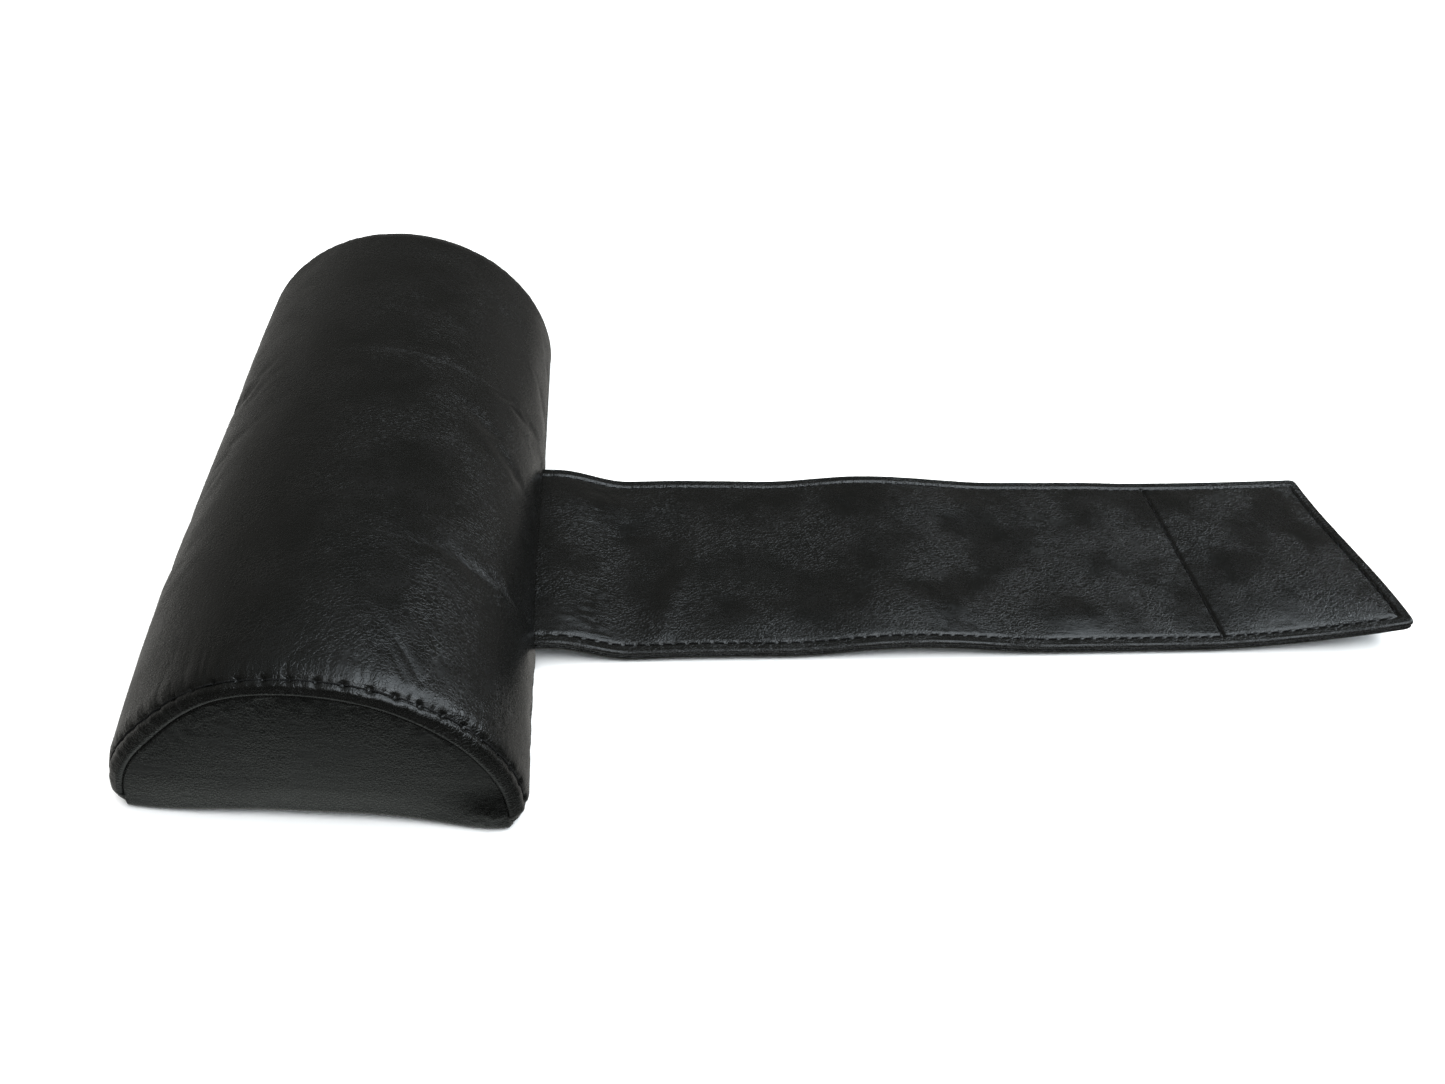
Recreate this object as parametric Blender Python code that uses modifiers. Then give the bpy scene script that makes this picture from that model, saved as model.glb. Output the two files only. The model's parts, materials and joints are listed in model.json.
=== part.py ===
"""Half-round chair armrest pad with a broad stitched strap, modelled in metres.

X runs across the pad towards the strap, Y along the pad and Z up. The origin is at the centre
of the pad's flat base, on the surface that it rests on.
"""

from math import asin, cos, pi, radians, sin, tan

import bmesh
import bpy
from mathutils import Matrix, Vector

# Pad: outside sizes.
HALF_WIDTH = 0.070
HEIGHT = 0.072
HALF_LENGTH = 0.146
SIDE_HEIGHT = 0.005
END_ROUND = 0.011
SEAM_ANGLE = radians(60)
END_CROWN = 0.0025

# Sheet goods.
GAP = 0.0003
SKIN = 0.0012
WADDING = 0.005
END_WADDING = 0.0025
BASE_THICK = 0.0024
BASE_RIM = 0.0068
BASE_ROUND = 0.0080

# Strap: it leaves the pad's +X side and lies on the surface.
STRAP_WIDTH = 0.108
STRAP_Y = -0.022
STRAP_HALF_THICK = 0.00275
ROOT_X = 0.0745
ROOT_Z = 0.0100
JOINT_X = (ROOT_X, 0.168, 0.262, 0.356)
TIP_X = 0.440
CREST_X = 0.225
CREST = 0.0035
ROOT_FOLD = radians(98)
FOLD = radians(60)
HEM = 0.006
STITCH_INSET = 0.004
ANCHOR_X = 0.0640

# Layers of the strap's end, each given by its lowest and highest height off the middle line.
END_HOOK = (-0.0029, -0.0016)
END_LOWER = (-0.0013, -0.0001)
END_FELT = (0.0002, 0.0020)
END_UPPER = (0.0023, 0.0035)
HOOK_MARGIN = 0.0055

# Thread.
THREAD_RADIUS = 0.00035
TOPSTITCH_ANGLE = radians(28)

# Loop panel let into the base.
LOOP_X = (-0.062, 0.018)
LOOP_THICK = 0.0010

# Zip in the base: its middle line, its slot in the base and its parts.
ZIP_X = 0.045
ZIP_HALF_LENGTH = 0.112
ROW_FRONT = -0.096
ZIP_SLOT = 0.009
TAPE_WIDTH = 0.0100
TAPE_THICK = 0.0005
ROW_INNER = 0.0010
ROW_OUTER = 0.0022
ROW_Z = (0.0022, 0.0039)
STOP_LENGTH = 0.003
SLIDER_Y = 0.104
SLIDER_LENGTH = 0.010
SLIDER_HALF_WIDTH = 0.0040
SLIDER_LEVELS = (0.0010, 0.0018, 0.0042, 0.0050)
NECK_HALF_WIDTH = 0.0006
PULL_AXIS_Z = 0.00045
PULL_HALF_THICK = 0.00035
PULL_LENGTH = 0.017
PULL_HALF_WIDTH = 0.0025
PULL_END = 0.0003
LUG_HALF = 0.0008
LUG_DEPTH = 0.0005
FORK_HALF = 0.0012
FORK_DEPTH = 0.0014

ARCH_STEPS = 32
STATION_STEPS = 5

SEAM_Y = HALF_LENGTH - END_CROWN
ROUND_Y = SEAM_Y - END_ROUND * sin(SEAM_ANGLE)
WRAP_FOOT = BASE_RIM + GAP
STRAP_Y_RANGE = (STRAP_Y - STRAP_WIDTH / 2, STRAP_Y + STRAP_WIDTH / 2)


def clear_scene():
    for obj in list(bpy.data.objects):
        bpy.data.objects.remove(obj)


def new_collection(name):
    made = bpy.data.collections.new(name)
    bpy.context.scene.collection.children.link(made)
    return made


def new_material(name, colour, roughness, metallic=0.0):
    made = bpy.data.materials.new(name)
    made.use_nodes = True
    shader = made.node_tree.nodes["Principled BSDF"]
    shader.inputs["Base Color"].default_value = (*colour, 1.0)
    shader.inputs["Roughness"].default_value = roughness
    shader.inputs["Metallic"].default_value = metallic
    return made


def add_mesh(name, bm, material, collection, smooth=True):
    """Puts a bmesh in the scene as an object, with flat parts kept crisp."""
    bmesh.ops.recalc_face_normals(bm, faces=bm.faces)
    mesh = bpy.data.meshes.new(name)
    bm.to_mesh(mesh)
    bm.free()
    if smooth:
        mesh.shade_smooth()
        mesh.set_sharp_from_angle(angle=radians(35))
    mesh.materials.append(material)
    obj = bpy.data.objects.new(name, mesh)
    collection.objects.link(obj)
    return obj


def hang_on(obj, empty):
    """Parents an object to a joint's empty without moving it."""
    obj.parent = empty
    obj.matrix_parent_inverse = Matrix.Translation(-empty_place(empty))


def empty_place(empty):
    place = Vector(empty.location)
    while empty.parent:
        empty = empty.parent
        place += Vector(empty.location)
    return place


def joint_empty(name, place, collection, parent=None):
    """An empty on a joint's axis."""
    made = bpy.data.objects.new(name, None)
    made.empty_display_size = 0.01
    made.location = Vector(place) - (empty_place(parent) if parent else Vector())
    made.parent = parent
    collection.objects.link(made)
    return made


# Shapes


def arch_point(turn, inset):
    """A point of the half-round section, drawn in by an inset; turn runs from 0 to pi."""
    across = (HALF_WIDTH - inset) * cos(turn)
    up = SIDE_HEIGHT + (HEIGHT - SIDE_HEIGHT - inset) * sin(turn)
    return across, up


def arch(inset, foot):
    """The half-round section from +X to -X, starting and ending at the height of its foot."""
    start = asin((foot - SIDE_HEIGHT) / (HEIGHT - SIDE_HEIGHT - inset))
    turns = [start + (pi - 2 * start) * i / ARCH_STEPS for i in range(ARCH_STEPS + 1)]
    return [arch_point(turn, inset) for turn in turns]


def stations(round_radius, last_angle):
    """Pairs of place along Y and scale across it, rounding in at both ends."""
    angles = [last_angle * i / STATION_STEPS for i in range(STATION_STEPS + 1)]
    half = [
        (ROUND_Y + round_radius * sin(a), 1 - round_radius * (1 - cos(a)) / HALF_WIDTH)
        for a in angles
    ]
    return [(-y, s) for y, s in reversed(half)] + half


def angle_reaching(y, round_radius):
    return asin((y - ROUND_Y) / round_radius)


def move_to_station(bm, verts, step, ratio, rise):
    """Moves a section along Y and scales its width, and with rise its height above the seam."""
    bmesh.ops.translate(bm, verts=verts, vec=(0, step, 0))
    bmesh.ops.scale(
        bm,
        verts=verts,
        vec=(ratio, 1, ratio if rise else 1),
        space=Matrix.Translation((0, 0, -WRAP_FOOT)),
    )


def section_verts(bm, outline, station, rise):
    y, scale = station
    verts = [bm.verts.new((x, y, z)) for x, z in outline]
    move_to_station(bm, verts, 0, scale, rise)
    return verts


def between(geometry, verts):
    """The edges that join two of the given points."""
    edges = [g for g in geometry if isinstance(g, bmesh.types.BMEdge)]
    return [e for e in edges if e.verts[0] in verts and e.verts[1] in verts]


def open_loft(outline, places):
    """An open sheet: the outline drawn along Y through the stations."""
    bm = bmesh.new()
    verts = section_verts(bm, outline, places[0], True)
    edges = [bm.edges.new(pair) for pair in zip(verts, verts[1:])]
    for (y0, s0), (y1, s1) in zip(places, places[1:]):
        made = bmesh.ops.extrude_edge_only(bm, edges=edges)["geom"]
        verts = [g for g in made if isinstance(g, bmesh.types.BMVert)]
        edges = between(made, verts)
        move_to_station(bm, verts, y1 - y0, s1 / s0, True)
    return bm


def closed_loft(outline, places, rise):
    """A solid: the closed outline drawn along Y through the stations."""
    bm = bmesh.new()
    first = face = bm.faces.new(section_verts(bm, outline, places[0], rise))
    for (y0, s0), (y1, s1) in zip(places, places[1:]):
        made = bmesh.ops.extrude_face_region(bm, geom=[face])["geom"]
        if face is not first:
            bmesh.ops.delete(bm, geom=[face], context="FACES_ONLY")
        verts = [g for g in made if isinstance(g, bmesh.types.BMVert)]
        face = next(g for g in made if isinstance(g, bmesh.types.BMFace))
        move_to_station(bm, verts, y1 - y0, s1 / s0, rise)
    return bm


def prism(outline, y_range):
    """An XZ outline drawn straight along Y."""
    return closed_loft(outline, [(y_range[0], 1.0), (y_range[1], 1.0)], False)


def box(x_range, y_range, z_range):
    (x0, x1), (z0, z1) = x_range, z_range
    return prism([(x0, z0), (x1, z0), (x1, z1), (x0, z1)], y_range)


def plate(outline, z_range):
    """An XY outline drawn straight up."""
    bm = bmesh.new()
    face = bm.faces.new([bm.verts.new((x, y, z_range[0])) for x, y in outline])
    made = bmesh.ops.extrude_face_region(bm, geom=[face])["geom"]
    verts = [g for g in made if isinstance(g, bmesh.types.BMVert)]
    bmesh.ops.translate(bm, verts=verts, vec=(0, 0, z_range[1] - z_range[0]))
    return bm


def solidify(obj, thickness):
    """Thickens a sheet towards its inner side."""
    made = obj.modifiers.new("thickness", "SOLIDIFY")
    made.thickness = thickness
    made.offset = -1
    made.use_even_offset = True


def cut(obj, cutter):
    made = obj.modifiers.new("cut", "BOOLEAN")
    made.operation = "DIFFERENCE"
    made.object = cutter


def as_cutter(obj):
    obj.hide_render = True
    obj.display_type = "WIRE"
    return obj


def bevel(obj, width, segments=2):
    made = obj.modifiers.new("rounding", "BEVEL")
    made.width = width
    made.segments = segments
    made.limit_method = "ANGLE"
    made.angle_limit = radians(50)


def add_thread(name, points, material, collection):
    """A run of thread through the points."""
    curve = bpy.data.curves.new(name, "CURVE")
    curve.dimensions = "3D"
    curve.bevel_depth = THREAD_RADIUS
    curve.bevel_resolution = 1
    curve.use_fill_caps = True
    spline = curve.splines.new("POLY")
    spline.points.add(len(points) - 1)
    for spot, place in zip(spline.points, points):
        spot.co = (*place, 1)
    curve.materials.append(material)
    obj = bpy.data.objects.new(name, curve)
    collection.objects.link(obj)
    return obj


# Pad


def make_wrap(materials, parts, cutters):
    """The outer sheet over the top, rounded in over both ends, with a slit for the strap."""
    bm = open_loft(arch(0.0, WRAP_FOOT), stations(END_ROUND, SEAM_ANGLE))
    obj = add_mesh("wrap_cover", bm, materials["leather"], parts)
    solidify(obj, SKIN)
    y0, y1 = STRAP_Y_RANGE
    top = ROOT_Z + STRAP_HALF_THICK + GAP
    slit = box((ANCHOR_X, HALF_WIDTH + SKIN), (y0 - GAP, y1 + GAP), (0.0, top))
    cut(obj, as_cutter(add_mesh("strap_slit_cutter", slit, materials["leather"], cutters)))


def make_fillings(materials, parts, cutters):
    inset = SKIN + GAP
    foot = ROOT_Z + STRAP_HALF_THICK + SKIN
    places = stations(END_ROUND - inset, radians(35))
    bm = open_loft(arch(inset, foot), places)
    solidify(add_mesh("wadding_wrap", bm, materials["wadding"], parts), WADDING)

    inset += WADDING + GAP
    low = BASE_THICK + GAP
    outline = arch(inset, low + SIDE_HEIGHT)
    side = outline[0][0] - SKIN
    outline = [(side, low)] + outline + [(-side, low)]
    core = closed_loft(outline, stations(END_ROUND - inset, radians(75)), True)
    obj = add_mesh("foam_core", core, materials["foam"], parts)
    reach = ZIP_SLOT / 2 + TAPE_WIDTH
    top = SLIDER_LEVELS[-1] + GAP
    length = ZIP_HALF_LENGTH + TAPE_WIDTH
    groove = box((ZIP_X - reach, ZIP_X + reach), (-length, length), (0.0, top))
    cut(obj, as_cutter(add_mesh("zip_groove_cutter", groove, materials["foam"], cutters)))


def end_outline(inset, low):
    outline = arch(inset, BASE_RIM + inset)
    return [(outline[0][0], low)] + outline + [(outline[-1][0], low)]


def make_end(name, side, materials, parts):
    """The D-shaped end panel: rings drawn in from its edge, each standing a little prouder."""
    inset = END_ROUND * (1 - cos(SEAM_ANGLE)) + SKIN * cos(SEAM_ANGLE) + GAP
    bm = bmesh.new()
    verts = [bm.verts.new((x, side * SEAM_Y, z)) for x, z in end_outline(inset, 0.0)]
    edges = [bm.edges.new(pair) for pair in zip(verts, verts[1:] + verts[:1])]
    middle = Matrix.Translation((0, 0, -HEIGHT / 3))
    for scale, rise in ((0.90, 0.55), (0.78, 0.30), (0.60, 0.15)):
        made = bmesh.ops.extrude_edge_only(bm, edges=edges)["geom"]
        verts = [g for g in made if isinstance(g, bmesh.types.BMVert)]
        edges = between(made, verts)
        bmesh.ops.scale(bm, verts=verts, vec=(scale, 1, scale), space=middle)
        bmesh.ops.translate(bm, verts=verts, vec=(0, side * rise * END_CROWN, 0))
    bmesh.ops.edgeloop_fill(bm, edges=edges)
    if side < 0:
        bmesh.ops.reverse_faces(bm, faces=bm.faces)
    obj = add_mesh(f"end_panel_{name}", bm, materials["leather"], parts)
    solidify(obj, SKIN)


def make_end_wadding(name, side, materials, parts):
    inset = END_ROUND
    near = SEAM_Y - SKIN - GAP
    ends = sorted((side * near, side * (near - END_WADDING)))
    bm = prism(end_outline(inset, BASE_THICK + GAP), ends)
    add_mesh(f"end_wadding_{name}", bm, materials["wadding"], parts)


def rim_arc(radius, low, side):
    """The base's upturned edge, from its flat part to its top."""
    steps = 5
    centre_x = HALF_WIDTH - BASE_ROUND
    last = asin((BASE_ROUND - BASE_RIM) / radius)
    turns = [pi / 2 + (last - pi / 2) * i / steps for i in range(steps + 1)]
    return [
        (side * (centre_x + radius * cos(t)), max(low, BASE_ROUND - radius * sin(t)))
        for t in turns
    ]


def base_outline(seam_x, side):
    """The base's section from the zip's seam out to the upturned edge on one side."""
    outer = rim_arc(BASE_ROUND, 0.0, side)
    inner = rim_arc(BASE_ROUND - SKIN, 0.0, side)
    inner = [(x, z) for x, z in inner if z > BASE_THICK]
    start = inner[0][0] - side * SKIN
    return [(seam_x, 0.0)] + outer + inner[::-1] + [(start, BASE_THICK), (seam_x, BASE_THICK)]


def make_base(materials, parts, cutters):
    """The base in two strips that meet at the zip, with the loop panel let into the wide one."""
    end_y = SEAM_Y - SKIN - GAP
    places = stations(END_ROUND, angle_reaching(end_y, END_ROUND))
    wide = closed_loft(base_outline(ZIP_X - GAP / 2, -1), places, False)
    wide = add_mesh("base_panel", wide, materials["base"], parts)
    strip = closed_loft(base_outline(ZIP_X + GAP / 2, 1), places, False)
    strip = add_mesh("base_margin", strip, materials["base"], parts)
    half = ZIP_SLOT / 2
    y_range = (-ZIP_HALF_LENGTH - half, ZIP_HALF_LENGTH + half)
    slot = box((ZIP_X - half, ZIP_X + half), y_range, (-0.001, BASE_THICK + 0.001))
    slot = as_cutter(add_mesh("zip_slot_cutter", slot, materials["base"], cutters))
    cut(wide, slot)
    cut(strip, slot)
    (x0, x1), (y0, y1) = LOOP_X, STRAP_Y_RANGE
    pocket = box((x0 - GAP, x1 + GAP), (y0 - GAP, y1 + GAP), (-0.001, LOOP_THICK + GAP))
    cut(wide, as_cutter(add_mesh("loop_pocket_cutter", pocket, materials["base"], cutters)))
    add_mesh("loop_panel", box(LOOP_X, STRAP_Y_RANGE, (0.0, LOOP_THICK)), materials["loop"], parts)


def make_end_thread(name, side, materials, parts):
    """The topstitch that runs round the arch just above the end seam."""
    inset = END_ROUND * (1 - cos(TOPSTITCH_ANGLE))
    proud = THREAD_RADIUS + GAP
    y = side * (ROUND_Y + END_ROUND * sin(TOPSTITCH_ANGLE) + proud * sin(TOPSTITCH_ANGLE))
    inset -= proud * cos(TOPSTITCH_ANGLE)
    points = [(x, y, z) for x, z in arch(inset, WRAP_FOOT + SKIN)]
    add_thread(f"thread_{name}_arch", points, materials["thread"], parts)


# Zip


def make_zip(materials, parts):
    """The tapes, rows of teeth and end stops along the slot in the base."""
    y_range = (-ZIP_HALF_LENGTH, ZIP_HALF_LENGTH)
    tape_z = (BASE_THICK + GAP, BASE_THICK + GAP + TAPE_THICK)
    for name, side in (("inner", -1), ("outer", 1)):
        near = ROW_OUTER + GAP
        ends = sorted((ZIP_X + side * near, ZIP_X + side * (near + TAPE_WIDTH)))
        add_mesh(f"zip_tape_{name}", box(ends, y_range, tape_z), materials["tape"], parts)
        ends = sorted((ZIP_X + side * ROW_INNER, ZIP_X + side * ROW_OUTER))
        rows = (ROW_FRONT, ZIP_HALF_LENGTH)
        row = add_mesh(f"zip_teeth_{name}", box(ends, rows, ROW_Z), materials["teeth"], parts)
        bevel(row, 0.0003, 1)
    front = ROW_FRONT - GAP - STOP_LENGTH
    for name, y in (("front", front), ("rear", ZIP_HALF_LENGTH + GAP)):
        ends = (y, y + STOP_LENGTH)
        across = (ZIP_X - ROW_OUTER, ZIP_X + ROW_OUTER)
        stop = add_mesh(f"zip_stop_{name}", box(across, ends, ROW_Z), materials["metal"], parts)
        bevel(stop, 0.0004, 2)


def slider_outline():
    """The slider's I-shaped section: an outer plate, a neck between the teeth, an inner plate."""
    low, plate_top, neck_top, top = SLIDER_LEVELS
    wide, narrow = SLIDER_HALF_WIDTH, NECK_HALF_WIDTH
    right = [(wide, low), (wide, plate_top), (narrow, plate_top)]
    right += [(narrow, neck_top), (wide, neck_top), (wide, top)]
    left = [(-x, z) for x, z in reversed(right)]
    return [(ZIP_X + x, z) for x, z in right + left]


def make_slider(materials, parts, cutters):
    """The slider with its lug, and the forked pull that swings on the lug."""
    half = SLIDER_LENGTH / 2
    slide = joint_empty("zip_slide_axis", (ZIP_X, SLIDER_Y, SLIDER_LEVELS[0]), parts)
    bm = prism(slider_outline(), (SLIDER_Y - half, SLIDER_Y + half))
    slider = add_mesh("zip_slider", bm, materials["metal"], parts)
    lug_y = (SLIDER_Y - LUG_DEPTH, SLIDER_Y + LUG_DEPTH)
    lug_z = (PULL_AXIS_Z - PULL_HALF_THICK, SLIDER_LEVELS[1] - GAP)
    lug = box((ZIP_X - LUG_HALF, ZIP_X + LUG_HALF), lug_y, lug_z)
    lug = as_cutter(add_mesh("zip_lug_form", lug, materials["metal"], cutters))
    join = slider.modifiers.new("lug", "BOOLEAN")
    join.operation = "UNION"
    join.object = lug
    hang_on(slider, slide)

    swing = joint_empty("zip_pull_axis", (ZIP_X, SLIDER_Y, PULL_AXIS_Z), parts, slide)
    near, fork = SLIDER_Y + PULL_END, SLIDER_Y - FORK_DEPTH
    far = SLIDER_Y - PULL_LENGTH
    right = [(FORK_HALF, fork), (FORK_HALF, near), (PULL_HALF_WIDTH, near)]
    turns = [pi * i / 16 for i in range(9)]
    round_y = far + PULL_HALF_WIDTH
    right += [(PULL_HALF_WIDTH * cos(t), round_y - PULL_HALF_WIDTH * sin(t)) for t in turns]
    left = [(-x, y) for x, y in reversed(right[:-1])]
    outline = [(ZIP_X + x, y) for x, y in right + left]
    levels = (PULL_AXIS_Z - PULL_HALF_THICK, PULL_AXIS_Z + PULL_HALF_THICK)
    hang_on(add_mesh("zip_pull", plate(outline, levels), materials["metal"], parts), swing)


# Strap


def ease(share):
    """A smooth step from 0 to 1."""
    share = min(1.0, max(0.0, share))
    return 0.5 - 0.5 * cos(pi * share)


def middle_height(x):
    """Height of the strap's middle line: it drops from the pad, then rises in one low crest."""
    low = STRAP_HALF_THICK + GAP
    drop = ease((x - ROOT_X) / 0.034)
    reach = 0.060
    crest = CREST * ease(1 - abs(x - CREST_X) / reach)
    return ROOT_Z + (low - ROOT_Z) * drop + crest


def middle_slope(x):
    step = 1e-5
    return (middle_height(x + step) - middle_height(x - step)) / (2 * step)


def off_middle(x, offset):
    """The point at an offset square to the middle line."""
    slope = middle_slope(x)
    length = (1 + slope * slope) ** 0.5
    return x - offset * slope / length, middle_height(x) + offset / length


def relief(offset, fold):
    """How far a layer stops short of a joint's axis, so that the strap can fold there."""
    return GAP / 2 + abs(offset) * tan(fold / 2)


def layer_line(start, end, offset, folds):
    """Points along one side of a layer between two joints; a fold of None has no joint."""
    first = start + (relief(offset, folds[0]) if folds[0] else 0.0)
    last = end - (relief(offset, folds[1]) if folds[1] else 0.0)
    steps = max(2, round((last - first) / 0.008))
    return [off_middle(first + (last - first) * i / steps, offset) for i in range(steps + 1)]


def layer_outline(start, end, levels, folds):
    low = layer_line(start, end, levels[0], folds)
    high = layer_line(start, end, levels[1], folds)
    return low + high[::-1]


def add_layer(name, span, levels, folds, y_range, material, parts, empty):
    bm = prism(layer_outline(*span, levels, folds), y_range)
    obj = add_mesh(name, bm, material, parts)
    if empty:
        hang_on(obj, empty)


def strap_joints(parts):
    """The empties on the strap's fold axes, each carrying the next."""
    made = []
    for name, x in zip(("root", "near", "far", "end"), JOINT_X):
        parent = made[-1] if made else None
        place = (x, STRAP_Y, middle_height(x))
        made.append(joint_empty(f"strap_{name}_axis", place, parts, parent))
    return made


def make_anchor(materials, parts):
    """The strap's sewn-in end, which stays with the pad."""
    levels = (-STRAP_HALF_THICK, STRAP_HALF_THICK)
    low = layer_line(ANCHOR_X, ROOT_X, levels[0], (None, ROOT_FOLD))
    high = layer_line(ANCHOR_X, ROOT_X, levels[1], (None, ROOT_FOLD))
    nose = (ROOT_X - GAP / 2, ROOT_Z)
    bm = prism(low + [nose] + high[::-1], STRAP_Y_RANGE)
    add_mesh("strap_anchor", bm, materials["leather"], parts)


def make_run(letter, index, empty, materials, parts):
    """One stretch of the strap: two skins, the felt between them and an edge thread each side."""
    span = (JOINT_X[index], JOINT_X[index + 1])
    folds = (ROOT_FOLD if index == 0 else FOLD, FOLD)
    thick = STRAP_HALF_THICK
    y0, y1 = STRAP_Y_RANGE
    inside = thick - SKIN
    lower, upper = (-thick, -inside), (inside, thick)
    felt = (-inside + GAP, inside - GAP)
    leather = materials["leather"]
    add_layer(f"strap_{letter}_lower", span, lower, folds, (y0, y1), leather, parts, empty)
    add_layer(f"strap_{letter}_upper", span, upper, folds, (y0, y1), leather, parts, empty)
    inner = (y0 + HEM, y1 - HEM)
    add_layer(f"strap_{letter}_felt", span, felt, folds, inner, materials["felt"], parts, empty)
    proud = thick + GAP + THREAD_RADIUS
    line = layer_line(*span, proud + THREAD_RADIUS, folds)
    line = [off_middle(x, proud) for x, _ in line]
    for side, y in (("near", y0 + STITCH_INSET), ("far", y1 - STITCH_INSET)):
        points = [(x, y, z) for x, z in line]
        name = f"strap_{letter}_thread_{side}"
        hang_on(add_thread(name, points, materials["thread"], parts), empty)


def make_strap_end(empty, materials, parts):
    """The strap's end, closed by a cross seam, with the hook panel sewn under it."""
    span = (JOINT_X[-1], TIP_X)
    folds = (FOLD, None)
    y0, y1 = STRAP_Y_RANGE
    leather = materials["leather"]
    add_layer("strap_end_lower", span, END_LOWER, folds, (y0, y1), leather, parts, empty)
    add_layer("strap_end_upper", span, END_UPPER, folds, (y0, y1), leather, parts, empty)
    inner = (span[0], span[1] - HEM)
    width = (y0 + HEM, y1 - HEM)
    add_layer("strap_end_felt", inner, END_FELT, folds, width, materials["felt"], parts, empty)
    inner = (span[0], span[1] - HOOK_MARGIN)
    width = (y0 + HOOK_MARGIN, y1 - HOOK_MARGIN)
    add_layer("hook_panel", inner, END_HOOK, folds, width, materials["hook"], parts, empty)
    z = middle_height(TIP_X) + END_UPPER[1] + GAP + THREAD_RADIUS
    near, far = y0 + STITCH_INSET, y1 - STITCH_INSET
    tip = TIP_X - STITCH_INSET
    seam = span[0] + relief(END_UPPER[1] + 2 * THREAD_RADIUS + GAP, FOLD) + THREAD_RADIUS
    edge = [(seam, near, z), (tip, near, z), (tip, far, z), (seam, far, z)]
    thread = materials["thread"]
    hang_on(add_thread("strap_end_thread", edge, thread, parts), empty)
    inset = 3 * THREAD_RADIUS
    cross = [(seam, near + inset, z), (seam, far - inset, z)]
    hang_on(add_thread("cross_seam_thread", cross, thread, parts), empty)


def make_materials():
    black = (0.012, 0.012, 0.011)
    return {
        "leather": new_material("faux_leather", black, 0.42),
        "base": new_material("base_leather", black, 0.55),
        "foam": new_material("foam", (0.72, 0.68, 0.52), 0.9),
        "wadding": new_material("wadding", (0.85, 0.85, 0.83), 0.95),
        "felt": new_material("felt", (0.20, 0.20, 0.20), 0.95),
        "thread": new_material("thread", (0.016, 0.016, 0.016), 0.6),
        "hook": new_material("hook_tape", (0.015, 0.015, 0.015), 0.8),
        "loop": new_material("loop_tape", (0.02, 0.02, 0.02), 0.95),
        "tape": new_material("zip_tape", (0.018, 0.018, 0.018), 0.85),
        "teeth": new_material("zip_teeth", (0.02, 0.02, 0.02), 0.4),
        "metal": new_material("zip_metal", (0.10, 0.10, 0.10), 0.35, 1.0),
    }


def main():
    clear_scene()
    parts = new_collection("chair_armrest_pad")
    cutters = new_collection("cutters")
    materials = make_materials()
    make_wrap(materials, parts, cutters)
    make_fillings(materials, parts, cutters)
    make_base(materials, parts, cutters)
    for name, side in (("front", -1), ("rear", 1)):
        make_end(name, side, materials, parts)
        make_end_wadding(name, side, materials, parts)
        make_end_thread(name, side, materials, parts)
    make_zip(materials, parts)
    make_slider(materials, parts, cutters)
    make_anchor(materials, parts)
    joints = strap_joints(parts)
    for index, letter in enumerate("abc"):
        make_run(letter, index, joints[index], materials, parts)
    make_strap_end(joints[-1], materials, parts)


main()
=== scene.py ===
"""Looks of the half-round chair armrest pad and its stitched strap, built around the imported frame.

Everything is in metres in the frame's axes: X runs across the pad towards the strap, Y along the
pad and Z up. The near end is the pad's -Y end. Flat leather coordinates are kept on each skin in
an attribute, so that its grain stays with it when it moves.
"""

import json
from math import asin, cos, pi, radians, sin

import bmesh
import bpy
import numpy as np
from mathutils import Matrix, Vector


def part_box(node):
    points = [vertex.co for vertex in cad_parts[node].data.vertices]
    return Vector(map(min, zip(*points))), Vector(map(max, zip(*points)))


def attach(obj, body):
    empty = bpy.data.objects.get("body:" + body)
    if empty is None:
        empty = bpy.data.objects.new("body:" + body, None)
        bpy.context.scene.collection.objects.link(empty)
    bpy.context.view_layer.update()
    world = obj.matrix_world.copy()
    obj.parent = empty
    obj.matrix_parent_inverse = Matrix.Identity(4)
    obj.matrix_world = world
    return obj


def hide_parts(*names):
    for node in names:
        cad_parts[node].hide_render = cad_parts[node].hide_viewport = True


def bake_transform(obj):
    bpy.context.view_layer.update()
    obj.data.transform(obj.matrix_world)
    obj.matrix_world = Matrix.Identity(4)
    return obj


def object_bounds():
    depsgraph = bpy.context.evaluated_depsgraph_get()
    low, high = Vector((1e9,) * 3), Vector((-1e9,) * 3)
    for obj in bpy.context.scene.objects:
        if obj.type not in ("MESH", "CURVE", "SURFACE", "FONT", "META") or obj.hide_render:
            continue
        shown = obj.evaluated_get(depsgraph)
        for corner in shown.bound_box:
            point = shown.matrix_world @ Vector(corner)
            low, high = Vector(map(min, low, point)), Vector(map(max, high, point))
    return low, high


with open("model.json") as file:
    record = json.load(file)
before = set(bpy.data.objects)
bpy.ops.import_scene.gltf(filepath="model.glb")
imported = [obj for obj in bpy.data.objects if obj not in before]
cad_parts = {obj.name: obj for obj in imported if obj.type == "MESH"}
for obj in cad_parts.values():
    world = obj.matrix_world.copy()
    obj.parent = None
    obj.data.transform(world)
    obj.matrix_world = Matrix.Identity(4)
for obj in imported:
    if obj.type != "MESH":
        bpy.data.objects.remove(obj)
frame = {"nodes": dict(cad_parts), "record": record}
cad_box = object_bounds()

MM = 0.001

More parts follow.
